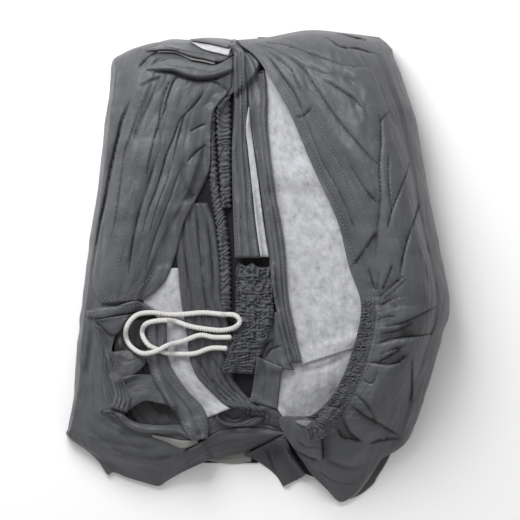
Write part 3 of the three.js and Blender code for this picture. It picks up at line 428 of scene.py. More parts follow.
# What is laid, lowest first, with the two sides of the wrap in their places
PIECES = [
    Strip("end_folds", crown=2, painted_shade_share=0.5, extra=True, sections=[
        (188, 424, 31, 192, 444, 29), (205, 416, 31, 208, 438, 28), (222, 404, 31, 225, 434, 27),
        (240, 399, 31, 243, 433, 27), (258, 398, 31, 262, 433, 27), (274, 406, 31, 278, 434, 27),
        (285, 414, 31, 288, 435, 27),
    ]),
    # Its painted shade share darkens the whole pocket, for the shade deep inside it.
    Strip("pocket_cloth", crown=2, painted_shade_share=0.75, sections=[
        (100, 322, 166, 318), (107, 350, 168, 348), (113, 380, 175, 380), (118, 405, 190, 410),
        (130, 424, 198, 430),
    ]),
    Strip("rolled_end", thickness=HEM, crown=4, painted_shade_share=0.3, pleats=2, pleat=1.6, fine=True,
          sections=ring((240, 416), (25, 11), (233, 415.5), (14, 7.5))),
    Strip("lining_left", finish="lining", crown=2, sections=[
        (160, 268, 179, 268), (143, 300, 182, 303), (155, 315, 184, 315), (164, 330, 188, 332),
        (165, 353, 190, 353), (170, 370, 196, 372), (194, 400, 220, 400), (207, 418, 231, 408),
    ]),
    Strip("gathered_strip", crown=4, painted_shade_share=0.36, pleats=5, pleat=2.6, sections=[
        (176, 203, 207, 203), (171, 225, 215, 225), (177, 260, 220, 258), (182, 300, 224, 300),
        (187, 335, 231, 335), (190, 357, 236, 355), (198, 378, 233, 377), (224, 403, 250, 400),
        (236, 407, 263, 411),
    ]),
    Strip("inner_fold", crown=2, painted_shade_share=0.42, extra=True, sections=[
        (110, 352, 40, 121, 380, 43), (124, 350, 40, 131, 377, 43), (137, 350, 39, 142, 368, 42),
        (148, 350, 38, 148, 360, 39),
    ]),
    Strip("pocket_fold", crown=2, painted_shade_share=0.4, extra=True, sections=[
        (112, 380, 38, 124, 414, 45), (128, 375, 38, 144, 401, 46), (146, 374, 37, 158, 403, 45),
        (160, 376, 36, 172, 406, 42),
    ]),
    Strip("lining_edges", finish="edge", crown=1, pleats=2, pleat=1.2, sections=[
        (206, 452, 207, 462), (220, 453, 220, 464), (236, 451, 236, 465), (251, 448, 252, 463),
    ]),
    "left",
    Strip("skirt_rim", thickness=4, crown=2, fine=True, extra=True, sections=[
        (99, 407, 100, 412), (118, 411, 117, 418), (136, 422, 135, 430), (160, 425, 160, 433),
        (181, 425, 180, 434), (194, 433, 192, 440),
    ]),
    Strip("skirt_lining", finish="edge", crown=1, extra=True, sections=[
        (152, 434, 153, 437), (168, 437, 167, 442), (182, 440, 182, 448), (197, 440, 199, 443),
    ]),
    Strip("bottom_roll", crown=6, painted_shade_share=0.36, lap=True, sections=[
        (184, 452, 30, 190, 468, 8), (199, 443, 36, 206, 461, 6), (220, 431, 30, 223, 458, 5),
        (237, 428, 26, 243, 453, 5), (258, 428, 26, 263, 446, 6), (283, 432, 24, 286, 440, 12),
        (297, 434, 22, 299, 442, 14),
    ]),
    Strip("ruched_strip_long", finish="elastic", crown=2, ruche=2.8, pitch=5.0, scallop=0.9, sections=[
        (209, 108, 216, 108), (209, 150, 216, 150), (211, 190, 219, 188), (215, 215, 225, 213),
        (220, 258, 230, 257), (222, 311, 231, 311),
    ]),
    Strip("ruched_strip_short", finish="elastic", crown=2, ruche=3.0, pitch=5.6, scallop=0.9, sections=[
        (217, 99, 230, 97), (217, 130, 231, 130), (219, 160, 231, 160), (222, 208, 231, 208),
    ]),
    Strip("lining_lower", finish="lining", crown=2, sections=[
        (296, 354, 366, 334), (281, 369, 356, 354), (278, 390, 345, 381), (276, 405, 333, 399),
        (283, 417, 322, 418),
    ]),
    Strip("facing_folds", crown=3, pleats=2, pleat=2.4, extra=True, sections=[
        (264, 310, 280, 312), (260, 334, 284, 334), (258, 346, 287, 347), (260, 358, 290, 362),
        (268, 368, 294, 370),
    ]),
    Strip(
        "elastic_gather", finish="elastic", crown=4, ruche=3.4, pitch=3.1, stray=0.9, scallop=0.8,
        crumple=4.5, ragged=5, sections=[
            (236, 267, 272, 268), (236, 295, 274, 298), (235, 318, 273, 318), (231, 342, 267, 340),
            (222, 372, 253, 374),
        ],
    ),
    Strip("lower_facing", crown=1, sections=[
        (257, 356, 283, 367), (255, 370, 281, 377), (253, 385, 279, 393), (250, 401, 277, 409),
    ]),
    Strip("lining_upper", finish="lining", crown=3, sections=[
        (265, 71, 56, 271, 71, 62), (264, 91, 56, 284, 92, 68), (262, 113, 57, 299, 114, 71),
        (262, 150, 57, 322, 152, 73), (267, 190, 57, 344, 192, 73), (276, 250, 0, 366, 248, 0),
        (284, 303, 0, 376, 300, 0), (292, 343, 0, 370, 334, 0), (301, 365, 0, 354, 347, 0),
    ]),
    Strip("left_hem_panel", thickness=HEM, crown=7, fine=True, sections=[
        (154, 58, 233, 68), (143, 75, 230, 90), (131, 106, 214, 112), (122, 131, 211, 140),
        (114, 166, 209, 172), (107, 201, 194, 204), (102, 223, 184, 224), (97, 250, 176, 254),
        (93, 275, 167, 278), (95, 292, 155, 292), (102, 304, 142, 301),
    ]),
    Strip("top_fold", finish="edge", crown=1, painted_shade_share=0.3, hanging=True, extra=True, sections=[
        (158, 49, 158, 53), (176, 50, 176, 54), (190, 56, 190, 60), (205, 59, 205, 63),
        (216, 62, 215, 66),
    ]),
    Strip("top_flap", thickness=4, crown=3, lap=True, hanging=True, fine=True, sections=[
        (145, 49, 145, 51), (157, 43, 157, 51), (171, 38, 172, 51), (190, 39, 190, 57),
        (205, 37, 205, 60), (222, 40, 221, 63), (236, 38, 233, 56),
    ]),
    Strip("lining_top", finish="lining", crown=1, hanging=True, sections=[
        (190, 40, 192, 43), (206, 41, 204, 50), (222, 45, 218, 54), (232, 47, 229, 57),
    ]),
    Strip("top_layer", crown=1, hanging=True, sections=[
        (190, 39, 191, 41), (204, 37, 205, 43), (219, 37, 218, 46), (233, 40, 229, 49),
    ]),
    Strip("top_lip", thickness=5, crown=3, roll=1.8, lap=True, hanging=True, fine=True, sections=[
        (147, 69, 147, 71), (157, 64, 157, 71), (175, 60, 174, 72), (190, 64, 188, 77),
        (202, 66, 200, 79), (216, 66, 216, 77), (233, 57, 233, 71),
    ]),
    Strip("centre_hem_band", thickness=HEM, crown=3, pleats=3, pleat=3.0, fine=True, sections=[
        (237, 52, 250, 54), (242, 66, 263, 68), (246, 95, 267, 95), (249, 134, 268, 134),
        (260, 191, 275, 191), (267, 241, 284, 241), (275, 303, 289, 303), (289, 363, 302, 362),
    ]),
    Strip(
        "front_hem_band", thickness=HEM, crown=3, painted_shade_share=0.15, pleats=3, pleat=3.0, lift=9, fine=True,
        sections=[
            (228, 45, 237, 42), (233, 53, 244, 53), (234, 64, 246, 66), (234, 113, 248, 113),
            (232, 150, 249, 150), (233, 205, 255, 205), (235, 258, 261, 258),
        ],
    ),
    Strip("lining_strip", finish="lining", crown=1, sections=[
        (248.5, 108, 249.5, 108), (246, 128, 251, 128), (248, 150, 254, 150), (253, 195, 260, 195),
        (256, 225, 264, 225), (260.5, 257, 269, 257),
    ]),
    Strip("cuff_strap", thickness=HEM, crown=2, sections=[
        (86, 311, 88, 317), (100, 307, 102, 319), (118, 305, 118, 315), (138, 301, 138, 312),
        (158, 311, 157, 314),
    ]),
    Strip("cuff_flap", crown=2, sections=[
        (96, 320, 97, 323), (112, 317, 113, 335), (125, 315, 127, 325), (139, 313, 140, 316),
    ]),
    Strip("pocket_rim", thickness=HEM, crown=2, painted_shade_share=0.2, pleats=4, pleat=3.2, fine=True, sections=[
        (92, 321, 102, 327), (98, 335, 106, 334), (107, 358, 115, 357), (112, 380, 124, 380),
        (115, 395, 131, 399), (110, 407, 128, 412),
    ]),
    Strip("lower_hem_band", thickness=HEM, crown=3, pleats=2, pleat=2.6, fine=True, sections=[
        (147, 320, 167, 321), (147, 357, 168, 356), (153, 378, 176, 374), (161, 392, 188, 391),
        (176, 416, 203, 407), (186, 432, 209, 424), (193, 441, 208, 438),
    ]),
    # A near-black sheet, painted shadow, that fills the gap under the right side's corner.
    Strip("painted_shadow_fold", finish="inner", extra=True, sections=[
        (278, 436, 12, 300, 436, 16), (288, 452, 8, 310, 454, 12), (298, 466, 6, 318, 470, 8),
        (303, 474, 5, 320, 480, 6),
    ]),
    Strip("hem_under", painted_shade_share=0.4, extra=True, sections=[
        (382, 452, 391, 456), (376, 462, 385, 467), (369, 473, 377.5, 479), (363, 481, 373.5, 485.5),
        (353, 490, 362, 495), (346, 496, 351.5, 500),
    ]),
    Strip("edge_lining", finish="edge", extra=True, sections=[
        (376, 459, 381, 462), (370.3, 469.4, 374.5, 472.2), (365.3, 477.4, 369.5, 480.2),
        (355.4, 490.8, 359.2, 493.8), (347.8, 497, 350.6, 500.2),
    ]),
    Strip("corner_flap", crown=3, painted_shade_share=0.45, sections=[
        (244, 456, 285, 434), (255, 461, 292, 452), (270, 471, 301, 468), (278, 479, 305, 476),
        (283, 488, 287, 486),
    ]),
    "right",
    Strip("lining_patch", finish="edge", roll=0.6, extra=True, sections=[
        (296, 420, 296.5, 422), (300, 419.5, 301, 424.5), (306, 420, 307, 426), (312, 421, 313, 424),
    ]),
    Strip(
        "elastic_end", finish="elastic", crown=3, ruche=3.2, pitch=3.6, scallop=1.2, extra=True,
        sections=[
            (327, 405, 343, 409), (318, 416, 334, 425), (309, 423, 322, 438), (303, 428, 309, 440),
        ],
    ),
]

# Rows of stitching: lines of [across, down]
STITCH_ROWS = [
    [(149, 114), (139, 152), (133, 186), (131, 200)],
    [(127, 212), (123, 241), (119, 268)],
    [(100, 294), (110, 301), (122, 298), (140, 288), (153, 273)],
    [(312, 112), (322, 131), (329, 146), (341, 172), (350, 197), (361, 214)],
    [(283, 92), (296, 114), (310, 146), (327, 186), (343, 226), (354, 262)],
    [(377, 290), (378, 307), (376, 328), (372, 349), (367, 365), (358, 382), (348, 400), (330, 418)],
    [(242, 70), (244, 113), (246, 150), (251, 205), (257, 254)],
    [(236, 70), (236, 113), (235, 150), (236, 205), (238, 254)],
    [(261, 72), (264, 95), (265, 134), (272, 191), (281, 241), (286, 303), (298, 358)],
    [(150, 326), (150, 357), (157, 378), (166, 394), (180, 416), (195, 436)],
    [(163, 326), (164, 356), (172, 375), (184, 392), (199, 410), (205, 432)],
    [(90, 312), (104, 310), (120, 308), (138, 305)],
]
STITCH = 2.4  # length of a stitch
STITCH_STEP = 3.8  # from one stitch to the next
THREAD = 0.45  # half thickness of the thread
STITCH_SIDES = 4
STITCH_BODY = (0.25, 0.75)  # shares of a stitch between which it is thickest

# Tie cord, from one free end to the other: [across, down], and over where it crosses itself
CORD_ROUTE = [
    (227, 348, 0), (211, 348, 0), (196, 353, 0), (183, 354, 0), (168, 353, 0), (157, 349, 0),
    (148, 344, 0), (142.5, 334, 0), (145, 325, 0), (155, 321, 0), (172, 320.5, 0), (190, 326, 0),
    (208, 329, 0), (223, 330, 0), (235, 327, 0), (240, 321, 0), (235, 315, 0), (222, 314, 0),
    (203, 312.5, 0), (185, 314, 0), (168, 314.5, 0), (152, 312.5, 0), (138, 314.5, 0), (129, 323, 0),
    (126, 334, 0), (130, 345, 0), (142, 353, 0.4), (156, 351, 1), (168, 345, 0.5), (183, 341, 0),
    (200, 335, 0), (214, 337, 0), (232, 337, 0),
]
CORD = 5.0
CORD_SPACING = 0.6  # of the points along it
CORD_SIDES = 20
CORD_FOOT = 2  # it rests on what is this near to its middle line
CORD_GAP = 0.2
CORD_ROUNDS = 120  # of smoothing where it bridges hollows
CORD_TIP = 1.6  # length of its rounded ends
TIP_LEAST = 0.04
BRAID_STRANDS = 3  # each way round
BRAID_TWIST = 1.9  # radians in a millimetre
BRAID_CORE = 0.9  # share of the radius
BRAID_RELIEF = 0.12  # how far strands stand out, as a share of the radius

# Camera and lights in metres, floor in millimetres
CAMERA_PLACE = (0.002, 0.006, 5.81)
CAMERA_LENS = 400
CAMERA_SENSOR = 36
LIGHTS = [
    # name, place, size, power
    ("key", (-0.4, 0.85, 0.85), 0.8, 14),
    ("fill", (-0.5, 1.3, 1.5), 1.2, 9),
]
WORLD_STRENGTH = 0.57
FLOOR_CORNERS = [(-3000, -3000), (3000, -3000), (3000, 3000), (-3000, 3000)]
FLOOR_LEVEL = -0.4


# Curves, grids and noise

def catmull_rom(points, count):
    """Points on a smooth curve through the given ones, along the first axis."""
    points = np.asarray(points, float)
    last = len(points) - 1
    position = np.linspace(0, last, count)
    index = np.minimum(position.astype(int), last - 1)
    t = (position - index).reshape(-1, *[1] * (points.ndim - 1))
    start, end = points[index], points[index + 1]
    before = np.where((index > 0).reshape(t.shape), points[np.maximum(index - 1, 0)], 2 * start - end)
    after_index = np.minimum(index + 2, last)
    after = np.where((index + 2 <= last).reshape(t.shape), points[after_index], 2 * end - start)
    quadratic = 2 * before - 5 * start + 4 * end - after
    cubic = 3 * start - before - 3 * end + after
    return 0.5 * (2 * start + (end - before) * t + quadratic * t**2 + cubic * t**3)


def travelled(rows):
    """Distance along the first axis from the start, as the mean over the other points."""
    steps = np.linalg.norm(np.diff(rows, axis=0), axis=-1)
    return np.concatenate([[0], np.cumsum(steps.reshape(len(steps), -1).mean(axis=1))])


def travelled_across(grid):
    return travelled(grid.swapaxes(0, 1))


def unit(vectors):
    return vectors / np.linalg.norm(vectors, axis=-1, keepdims=True)


def even_rows(rows, spacing):
    """The same rows resampled at an even distance."""
    distance = travelled(rows)
    count = COARSE * max(LEAST_ROWS, round(distance[-1] / spacing / COARSE)) + 1
    wanted = np.linspace(0, distance[-1], count)
    columns = [np.interp(wanted, distance, column) for column in rows.reshape(len(rows), -1).T]
    return np.stack(columns, axis=1).reshape(count, *rows.shape[1:])


def even_grid(grid, spacing):
    along = even_rows(grid, spacing)
    return even_rows(along.swapaxes(0, 1), spacing).swapaxes(0, 1)


def place(points):
    """Layout places as points of the part, in millimetres."""
    placed = np.array(points, float)
    placed[..., 0] -= LAYOUT[0]
    placed[..., 1] = LAYOUT[1] - placed[..., 1]
    return placed


def noise(x, y, size, seed):
    """Smooth noise from -1 to 1 whose features have the given size."""
    lattice = np.random.default_rng(seed).uniform(-1, 1, (LATTICE, LATTICE))
    columns, rows = np.floor(x / size).astype(int), np.floor(y / size).astype(int)
    across, down = x / size - columns, y / size - rows
    across, down = across**2 * (3 - 2 * across), down**2 * (3 - 2 * down)

    def corner(right, below):
        return lattice[(rows + below) % LATTICE, (columns + right) % LATTICE]

    upper = corner(0, 0) * (1 - across) + corner(1, 0) * across
    lower = corner(0, 1) * (1 - across) + corner(1, 1) * across
    return upper * (1 - down) + lower * down


def crease_lines(flat, creases, reach):
    """Each crease's number, and for the points near it: share along, distance and sideways direction."""
    for number, (_, width, *line) in enumerate(creases):
        points = catmull_rom(place(line), DENSE * len(line))
        tangents = unit(np.gradient(points, axis=0))
        low, high = points.min(axis=0) - reach * width, points.max(axis=0) + reach * width
        near = np.flatnonzero(np.all((flat >= low) & (flat <= high), axis=1))
        offsets = flat[near][:, None] - points
        nearest = np.argmin((offsets**2).sum(axis=2), axis=1)
        offset = offsets[np.arange(len(nearest)), nearest]
        sideways = tangents[nearest] @ QUARTER_TURN
        yield number, near, nearest / (len(points) - 1), (offset * sideways).sum(axis=1), sideways


def snap(grid, creases):
    """Move the grid's points that are nearest to a sharp crease onto its line."""
    flat = grid[..., :2].reshape(-1, 2).copy()
    for number, near, along, distance, sideways in crease_lines(flat, creases, SNAP_REACH):
        caught = (np.abs(distance) < SNAPPED) & (along > 0) & (along < 1)
        caught &= creases[number][1] < SOFT_WIDTH
        flat[near[caught]] -= distance[caught, None] * sideways[caught]
    inside = slice(FIXED_EDGE, -FIXED_EDGE)
    grid[inside, inside, :2] = flat.reshape(grid[..., :2].shape)[inside, inside]


def crease_rise(grid, creases, seed):
    """Rise of a cloth's creases: soft troughs or ridges, and sharp lines with one side a little fuller."""
    flat = grid[..., :2].reshape(-1, 2)
    rise = np.zeros(len(flat))
    for number, near, along, distance, _ in crease_lines(flat, creases, CREASE_REACH):
        height, width, start = creases[number][:3]
        fade = np.minimum(1, FADE * np.sin(np.pi * along)) ** FADE_POWER
        waver = 1 + WAVER * noise(along * WAVER_FIELD, np.zeros_like(along), WAVER_SIZE, seed + number)
        if width < SOFT_WIDTH:
            line = SHARP * np.exp(-np.abs(distance) / (SHARP_WIDTH * width))
            trough = BROAD * np.exp(-((distance / (BROAD_WIDTH * width)) ** 2))
            lean = np.tanh(distance / width) * np.exp(-np.abs(distance) / LEAN_REACH)
            shape = height * (line + trough) + lean * LEANS.get(start, LEAN * (-1) ** number)
        else:
            shape = height * np.exp(-((distance / width) ** 2))
        rise[near] += waver * fade * shape
    return rise.reshape(grid.shape[:-1])


def blur(heights, rounds, hanging):
    """Smoothed heights; a hanging sheet's edges keep their slope, other edges level out."""
    padding = {"mode": "reflect", "reflect_type": "odd"} if hanging else {"mode": "edge"}
    for _ in range(rounds):
        wide = np.pad(heights, 1, **padding)
        along = (wide[:-2] + 2 * wide[1:-1] + wide[2:]) / 4
        heights = (along[:, :-2] + 2 * along[:, 1:-1] + along[:, 2:]) / 4
    return heights


class Ground:
    """Height map of what has been laid so far."""

    def __init__(self):
        self.heights = np.zeros((2 * MAP_HALF, 2 * MAP_HALF))

    @staticmethod
    def cells(points, margin):
        """Row and column of each point's cell, at least a margin inside the map."""
        last = 2 * MAP_HALF - 1 - margin
        numbers = np.clip((points[..., :2] + MAP_HALF).astype(int), margin, last)
        return numbers[..., 1], numbers[..., 0]

    def cover(self, grid):
        fine = even_grid(grid, COVER_SPACING)
        np.maximum.at(self.heights, self.cells(fine, 0), fine[..., 2])

    def under(self, flat):
        """Highest height in the cells round each point."""
        rows, columns = self.cells(flat, 1)
        around = [self.heights[rows + dy, columns + dx] for dy in (-1, 0, 1) for dx in (-1, 0, 1)]
        return np.max(around, axis=0)

    def drape(self, grid, clearance, hanging=False):
        """Heights of a sheet that lies over what is under it and bridges small hollows."""
        floor = self.under(grid) + clearance
        heights = np.maximum(grid[..., 2], floor)
        for _ in range(DRAPE_ROUNDS):
            heights = np.maximum(floor, blur(heights, 1, hanging))
        return blur(heights, SETTLE_ROUNDS, hanging)


# Meshes

def normals_of(grid):
    normals = np.cross(np.gradient(grid, axis=1), np.gradient(grid, axis=0))
    return normals / np.maximum(np.linalg.norm(normals, axis=-1, keepdims=True), TINY)


def grid_triangles(grid):
    """Triangles of a grid, each square split along its lower diagonal so that creases run through."""
    rows, columns = grid.shape[:2]
    numbers = np.arange(rows * columns).reshape(rows, columns)
    heights = grid[..., 2].ravel()
    corners = numbers[:-1, :-1], numbers[:-1, 1:], numbers[1:, 1:], numbers[1:, :-1]
    a, b, c, d = (corner.ravel() for corner in corners)
    main = (heights[a] + heights[c] < heights[b] + heights[d])[:, None]
    one = np.where(main, np.stack([a, b, c], axis=1), np.stack([a, b, d], axis=1))
    other = np.where(main, np.stack([a, c, d], axis=1), np.stack([b, c, d], axis=1))
    return np.concatenate([one, other])


def rim_of(rows, columns):
    """Numbers of the points round the edge of a grid, in order."""
    numbers = np.arange(rows * columns).reshape(rows, columns)
    return np.concatenate([numbers[0, :-1], numbers[:-1, -1], numbers[-1, :0:-1], numbers[:0:-1, 0]])


def rim_triangles(outer, inner):
    """Triangles between the edge of the outer face and the coarser edge of the hidden one."""
    first, second, third = (outer[number::COARSE] for number in range(COARSE))
    last, following = np.roll(first, -1), np.roll(inner, -1)
    strips = [(second, first, inner), (third, second, inner)]
    strips += [(last, third, following), (third, inner, following)]
    return np.concatenate([np.stack(strip, axis=1) for strip in strips])


def link(name, data):
    made = bpy.data.objects.new(name, data)
    bpy.context.scene.collection.objects.link(made)
    return made


def mesh_object(name, points, faces, finishes):
    """A smooth mesh from points in millimetres, with its materials."""
    mesh = bpy.data.meshes.new(name)
    mesh.from_pydata((points.reshape(-1, 3) * MM).tolist(), [], faces)
    for finish in finishes:
        mesh.materials.append(MATERIALS[finish])
    mesh.shade_smooth()
    return link(name, mesh)


def add_uv(mesh, uv):
    """Texture places in metres, from one place in millimetres for each point."""
    loops = np.zeros(len(mesh.loops), int)
    mesh.loops.foreach_get("vertex_index", loops)
    mesh.uv_layers.new(name="UVMap").data.foreach_set("uv", (uv * MM)[loops].ravel())


def facing_up(grid, row, column):
    """Order of the rows that turns the outer face up: 1 as they are, -1 reversed."""
    return 1 if normals_of(grid)[row, column, 2] > 0 else -1


def sheet_object(name, upper, lower, painted_shade, finishes):
    """Closed sheet between an outer face and a coarser hidden one, with a material for each face."""
    lower = lower[::COARSE, ::COARSE]
    count = upper.shape[0] * upper.shape[1]
    top = grid_triangles(upper)
    bottom = grid_triangles(lower)[:, ::-1] + count
    sides = rim_triangles(rim_of(*upper.shape[:2]), rim_of(*lower.shape[:2]) + count)
    faces = np.concatenate([top, sides, bottom])
    points = np.concatenate([upper.reshape(-1, 3), lower.reshape(-1, 3)])
    made = mesh_object(name, points, faces.tolist(), finishes)
    kinds = np.zeros(len(faces), int)
    kinds[-len(bottom):] = len(finishes) - 1
    made.data.polygons.foreach_set("material_index", kinds)
    lengths = np.stack(np.meshgrid(travelled_across(upper), travelled(upper)), axis=-1)
    add_uv(made.data, np.concatenate([lengths.reshape(-1, 2), lengths[::COARSE, ::COARSE].reshape(-1, 2)]))
    # Painted shade at each point, none on the hidden face; the shell material darkens by it.
    painted_shading = np.concatenate([painted_shade.ravel(), np.zeros(lower.shape[0] * lower.shape[1])])
    made.data.attributes.new("painted_shade", "FLOAT", "POINT").data.foreach_set("value", painted_shading)
    return made


def painted_shade_share(depth):
    """Share of painted shade, a dark line, that a crease of this depth gets."""
    return np.clip(depth / PAINTED_SHADE_DEPTH, 0, 1) ** PAINTED_SHADE_POWER


def adopt(made, nodes):
    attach(made, "root")
    if nodes:
        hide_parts(*nodes)


def face_area(grid):
    one, other = grid[1:, 1:] - grid[:-1, :-1], grid[1:, :-1] - grid[:-1, 1:]
    return np.linalg.norm(np.cross(one, other), axis=-1).sum() / 2


def declare_sheet(upper, lower):
    """Work out the area of a sheet cut as wide and long as its own grid, with a strip no narrower than its
    seam; nothing is done with it.
    """
    width = max(travelled_across(upper)[-1], SEAM)
    length = travelled(upper)[-1]
    area = (face_area(upper) + face_area(lower)) / 2
    area = float(np.clip(area / (width * length), LEAST_CUT, 1)) * width * length


# Materials

class Look:
    """A material and the nodes that it is made of."""

    def __init__(self, name):
        self.material = bpy.data.materials.new(name)
        self.material.use_nodes = True
        self.tree = self.material.node_tree
        self.tree.nodes.clear()

    def put(self, socket, value):
        """Link another node's output to a socket, or set the socket's own value."""
        if isinstance(value, bpy.types.NodeSocket):
            self.tree.links.new(value, socket)
        else:
            socket.default_value = value

    def add(self, kind, output, settings=None, **inputs):
        """An output of a new node with these settings and inputs."""
        made = self.tree.nodes.new(f"ShaderNode{kind}")
        for name, value in (settings or {}).items():
            setattr(made, name, value)
        for name, value in inputs.items():
            self.put(made.inputs[name.replace("_", " ")], value)
        return made.outputs[output]

    def math(self, operation, *values):
        made = self.tree.nodes.new("ShaderNodeMath")
        made.operation = operation
        for socket, value in zip(made.inputs, values):
            self.put(socket, value)
        return made.outputs["Value"]

    def ramp(self, factor, *stops):
        """Colours at places along a factor."""
        colour = self.add("ValToRGB", "Color", Fac=factor)
        elements = colour.node.color_ramp.elements
        while len(elements) < len(stops):
            elements.new(0.5)
        for element, (position, tone) in zip(elements, stops):
            element.position = position
            element.color = (*tone, 1)
        return colour

    def surface(self, **inputs):
        """The material itself, once its shader has these inputs."""
        shader = self.add("BsdfPrincipled", "BSDF", **inputs)
        output = self.tree.nodes.new("ShaderNodeOutputMaterial")
        self.put(output.inputs["Surface"], shader)
        return self.material


def shell_material(name, dark, light, roughness, specular=0.4):
    """Coated woven cloth: a fine weave, small crinkles and a soft satin gloss."""
    look = Look(name)
    uv = look.add("UVMap", "UV")
    broad = look.add("TexNoise", "Fac", Vector=uv, Scale=26, Detail=4, Roughness=0.6)
    fine = look.add("TexNoise", "Fac", Vector=uv, Scale=620, Detail=3, Roughness=0.8)
    crinkle = look.add("TexNoise", "Fac", Vector=uv, Scale=210, Detail=5, Roughness=0.62)
    lengthened = look.add("Mapping", "Vector", Vector=uv, Scale=(1, 0.3, 1))
    crumple = look.add(
        "TexNoise", "Fac", {"noise_type": "RIDGED_MULTIFRACTAL"}, Vector=lengthened,
        Scale=70, Detail=2, Roughness=0.5, Offset=0.9, Gain=1.5,
    )
    warp, weft = (
        look.add("TexWave", "Fac", {"bands_direction": way}, Vector=uv, Scale=400, Distortion=1, Detail=1)
        for way in "XY"
    )
    colour = look.ramp(look.math("MULTIPLY_ADD", fine, SPECKLE, broad), (0.6, dark), (1, light))
    # Painted shade: a point attribute mixes the cloth's colour towards a share of its dark tone.
    painted_shade = look.add("Attribute", "Fac", {"attribute_name": "painted_shade"})
    painted_shade_colour = (*(PAINTED_SHADE_TONE * value for value in dark), 1)
    painted_shading = look.add("Mix", "Result", {"data_type": "RGBA"}, Factor=painted_shade, A=colour, B=painted_shade_colour)
    smooth, rough = (roughness + change for change in GLOSS)
    gloss = look.add("MapRange", "Result", Value=crinkle, To_Min=smooth, To_Max=rough)
    weave = look.math("MAXIMUM", warp, weft)
    threads = look.add("Bump", "Normal", Strength=0.12, Distance=0.0002, Height=weave)
    folds = look.add("Bump", "Normal", Strength=0.35, Distance=0.0012, Height=crinkle, Normal=threads)
    inverted = {"invert": True}
    lines = look.add("Bump", "Normal", inverted, Strength=0.6, Distance=0.001, Height=crumple, Normal=folds)
    return look.surface(
        Base_Color=painted_shading, Roughness=gloss, Normal=lines, Specular_IOR_Level=specular,
        Sheen_Weight=0.12, Sheen_Roughness=0.5,
    )


def lining_material(name):
    """Heather fleece: pale, matted fibres with grey flecks."""
    look = Look(name)
    stretched = look.add("Mapping", "Vector", Vector=look.add("UVMap", "UV"), Scale=(1, 0.7, 1))
    cloud = look.add("TexNoise", "Fac", Vector=stretched, Scale=130, Detail=6, Roughness=0.7)
    fibre = look.add("TexNoise", "Fac", Vector=stretched, Scale=700, Detail=4, Roughness=0.8, Distortion=1.5)
    tone = look.math("MULTIPLY_ADD", fibre, FLEECE_FIBRE, cloud)
    flecks, middle, pale = (0.183, 0.184, 0.197), (0.335, 0.338, 0.357), (0.474, 0.478, 0.505)
    return look.surface(
        Base_Color=look.ramp(tone, (0.52, flecks), (0.66, middle), (0.92, pale)),
        Normal=look.add("Bump", "Normal", Strength=0.5, Distance=0.0008, Height=tone),
        Roughness=0.95, Sheen_Weight=0.3, Sheen_Roughness=0.6,
    )


def cord_material(name):
    """Braided white cord: strands that cross, with a little grey between them."""
    look = Look(name)
    uv = look.add("UVMap", "UV")
    fibre = look.add("TexNoise", "Fac", Vector=uv, Scale=900, Detail=4, Roughness=0.7)
    ribs = look.add("TexWave", "Fac", {"bands_direction": "Y"}, Vector=uv, Scale=150, Distortion=2, Detail=2)
    tone = look.math("MULTIPLY_ADD", ribs, CORD_RIBS, fibre)
    between, strand, bright = (0.36, 0.35, 0.333), (0.54, 0.53, 0.513), (0.61, 0.60, 0.585)
    return look.surface(
        Base_Color=look.ramp(tone, (0.35, between), (0.65, strand), (1, bright)),
        Normal=look.add("Bump", "Normal", Strength=0.4, Distance=0.0003, Height=fibre),
        Roughness=0.8, Sheen_Weight=0.2,
    )


def grained_material(name, scale, dark, light, roughness):
    """Two close tones in a fine grain."""
    look = Look(name)
    tone = look.add("TexNoise", "Fac", Scale=scale, Detail=2)
    return look.surface(Base_Color=look.ramp(tone, (0.3, dark), (0.7, light)), Roughness=roughness)


MATERIALS = {
    "shell": shell_material("shell_cloth", (0.045, 0.0465, 0.052), (0.083, 0.0855, 0.0945), 0.5),
    # Shell tones a little darker: painted shade of the gathers.
    "elastic": shell_material("elastic_cloth_painted_shade", (0.040, 0.042, 0.047), (0.071, 0.073, 0.081), 0.6),
    # Near-black cloth: painted shade for the stack's recesses, the hidden faces of the sides and a fold
    # under the corner.
    "inner": shell_material("painted_shade_cloth", (0.007, 0.007, 0.008), (0.014, 0.0145, 0.0165), 0.8, 0.1),
    # Lining tones dimmed: painted shade on thin edges and patches of lining.
    "edge": shell_material("lining_edge_painted_shade", (0.125, 0.125, 0.121), (0.216, 0.216, 0.209), 0.7),
    "lining": lining_material("fleece_lining"),
    "cord": cord_material("braided_cord"),
    "thread": grained_material("sewing_thread", 1500, (0.113, 0.113, 0.122), (0.19, 0.19, 0.2), 0.6),
    "floor": grained_material("pale_floor", 3, (0.9, 0.9, 0.9), (0.93, 0.93, 0.93), 0.9),
}


# The folded stack

def stack_rows():
    """Back-and-forth sections of the stack from one end to the other."""
    downs, edges, heights = zip(*STACK_TOP)
    sections = []
    for down in np.linspace(downs[0], downs[-1], STACK_ROWS):
        left, right = (np.interp(down, downs, side) for side in zip(*edges))
        tops = [np.interp(down, downs, column) for column in zip(*heights)]
        sections.append(stack_section(down, left, right, tops))
    return np.array(sections)


def stack_section(down, left, right, tops):
    points = []
    for layer in range(STACK_LAYERS):
        share = np.linspace(0, 1, STACK_STEPS)
        across = left + (right - left) * (share if layer % 2 == 0 else 1 - share)
        top = np.interp(across, STACK_ACROSS, tops) - HEM / 2
        heights = STACK_BASE + (top - STACK_BASE) * (layer / (STACK_LAYERS - 1))
        line = np.stack([across, np.full_like(across, down), heights], axis=1)
        if points:
            side = -1 if layer % 2 == 0 else 1
            points.extend(fold_between(points[-1], line[0], side, FOLD_SHIFTS[layer - 1]))
        points.extend(line)
    return place(points)


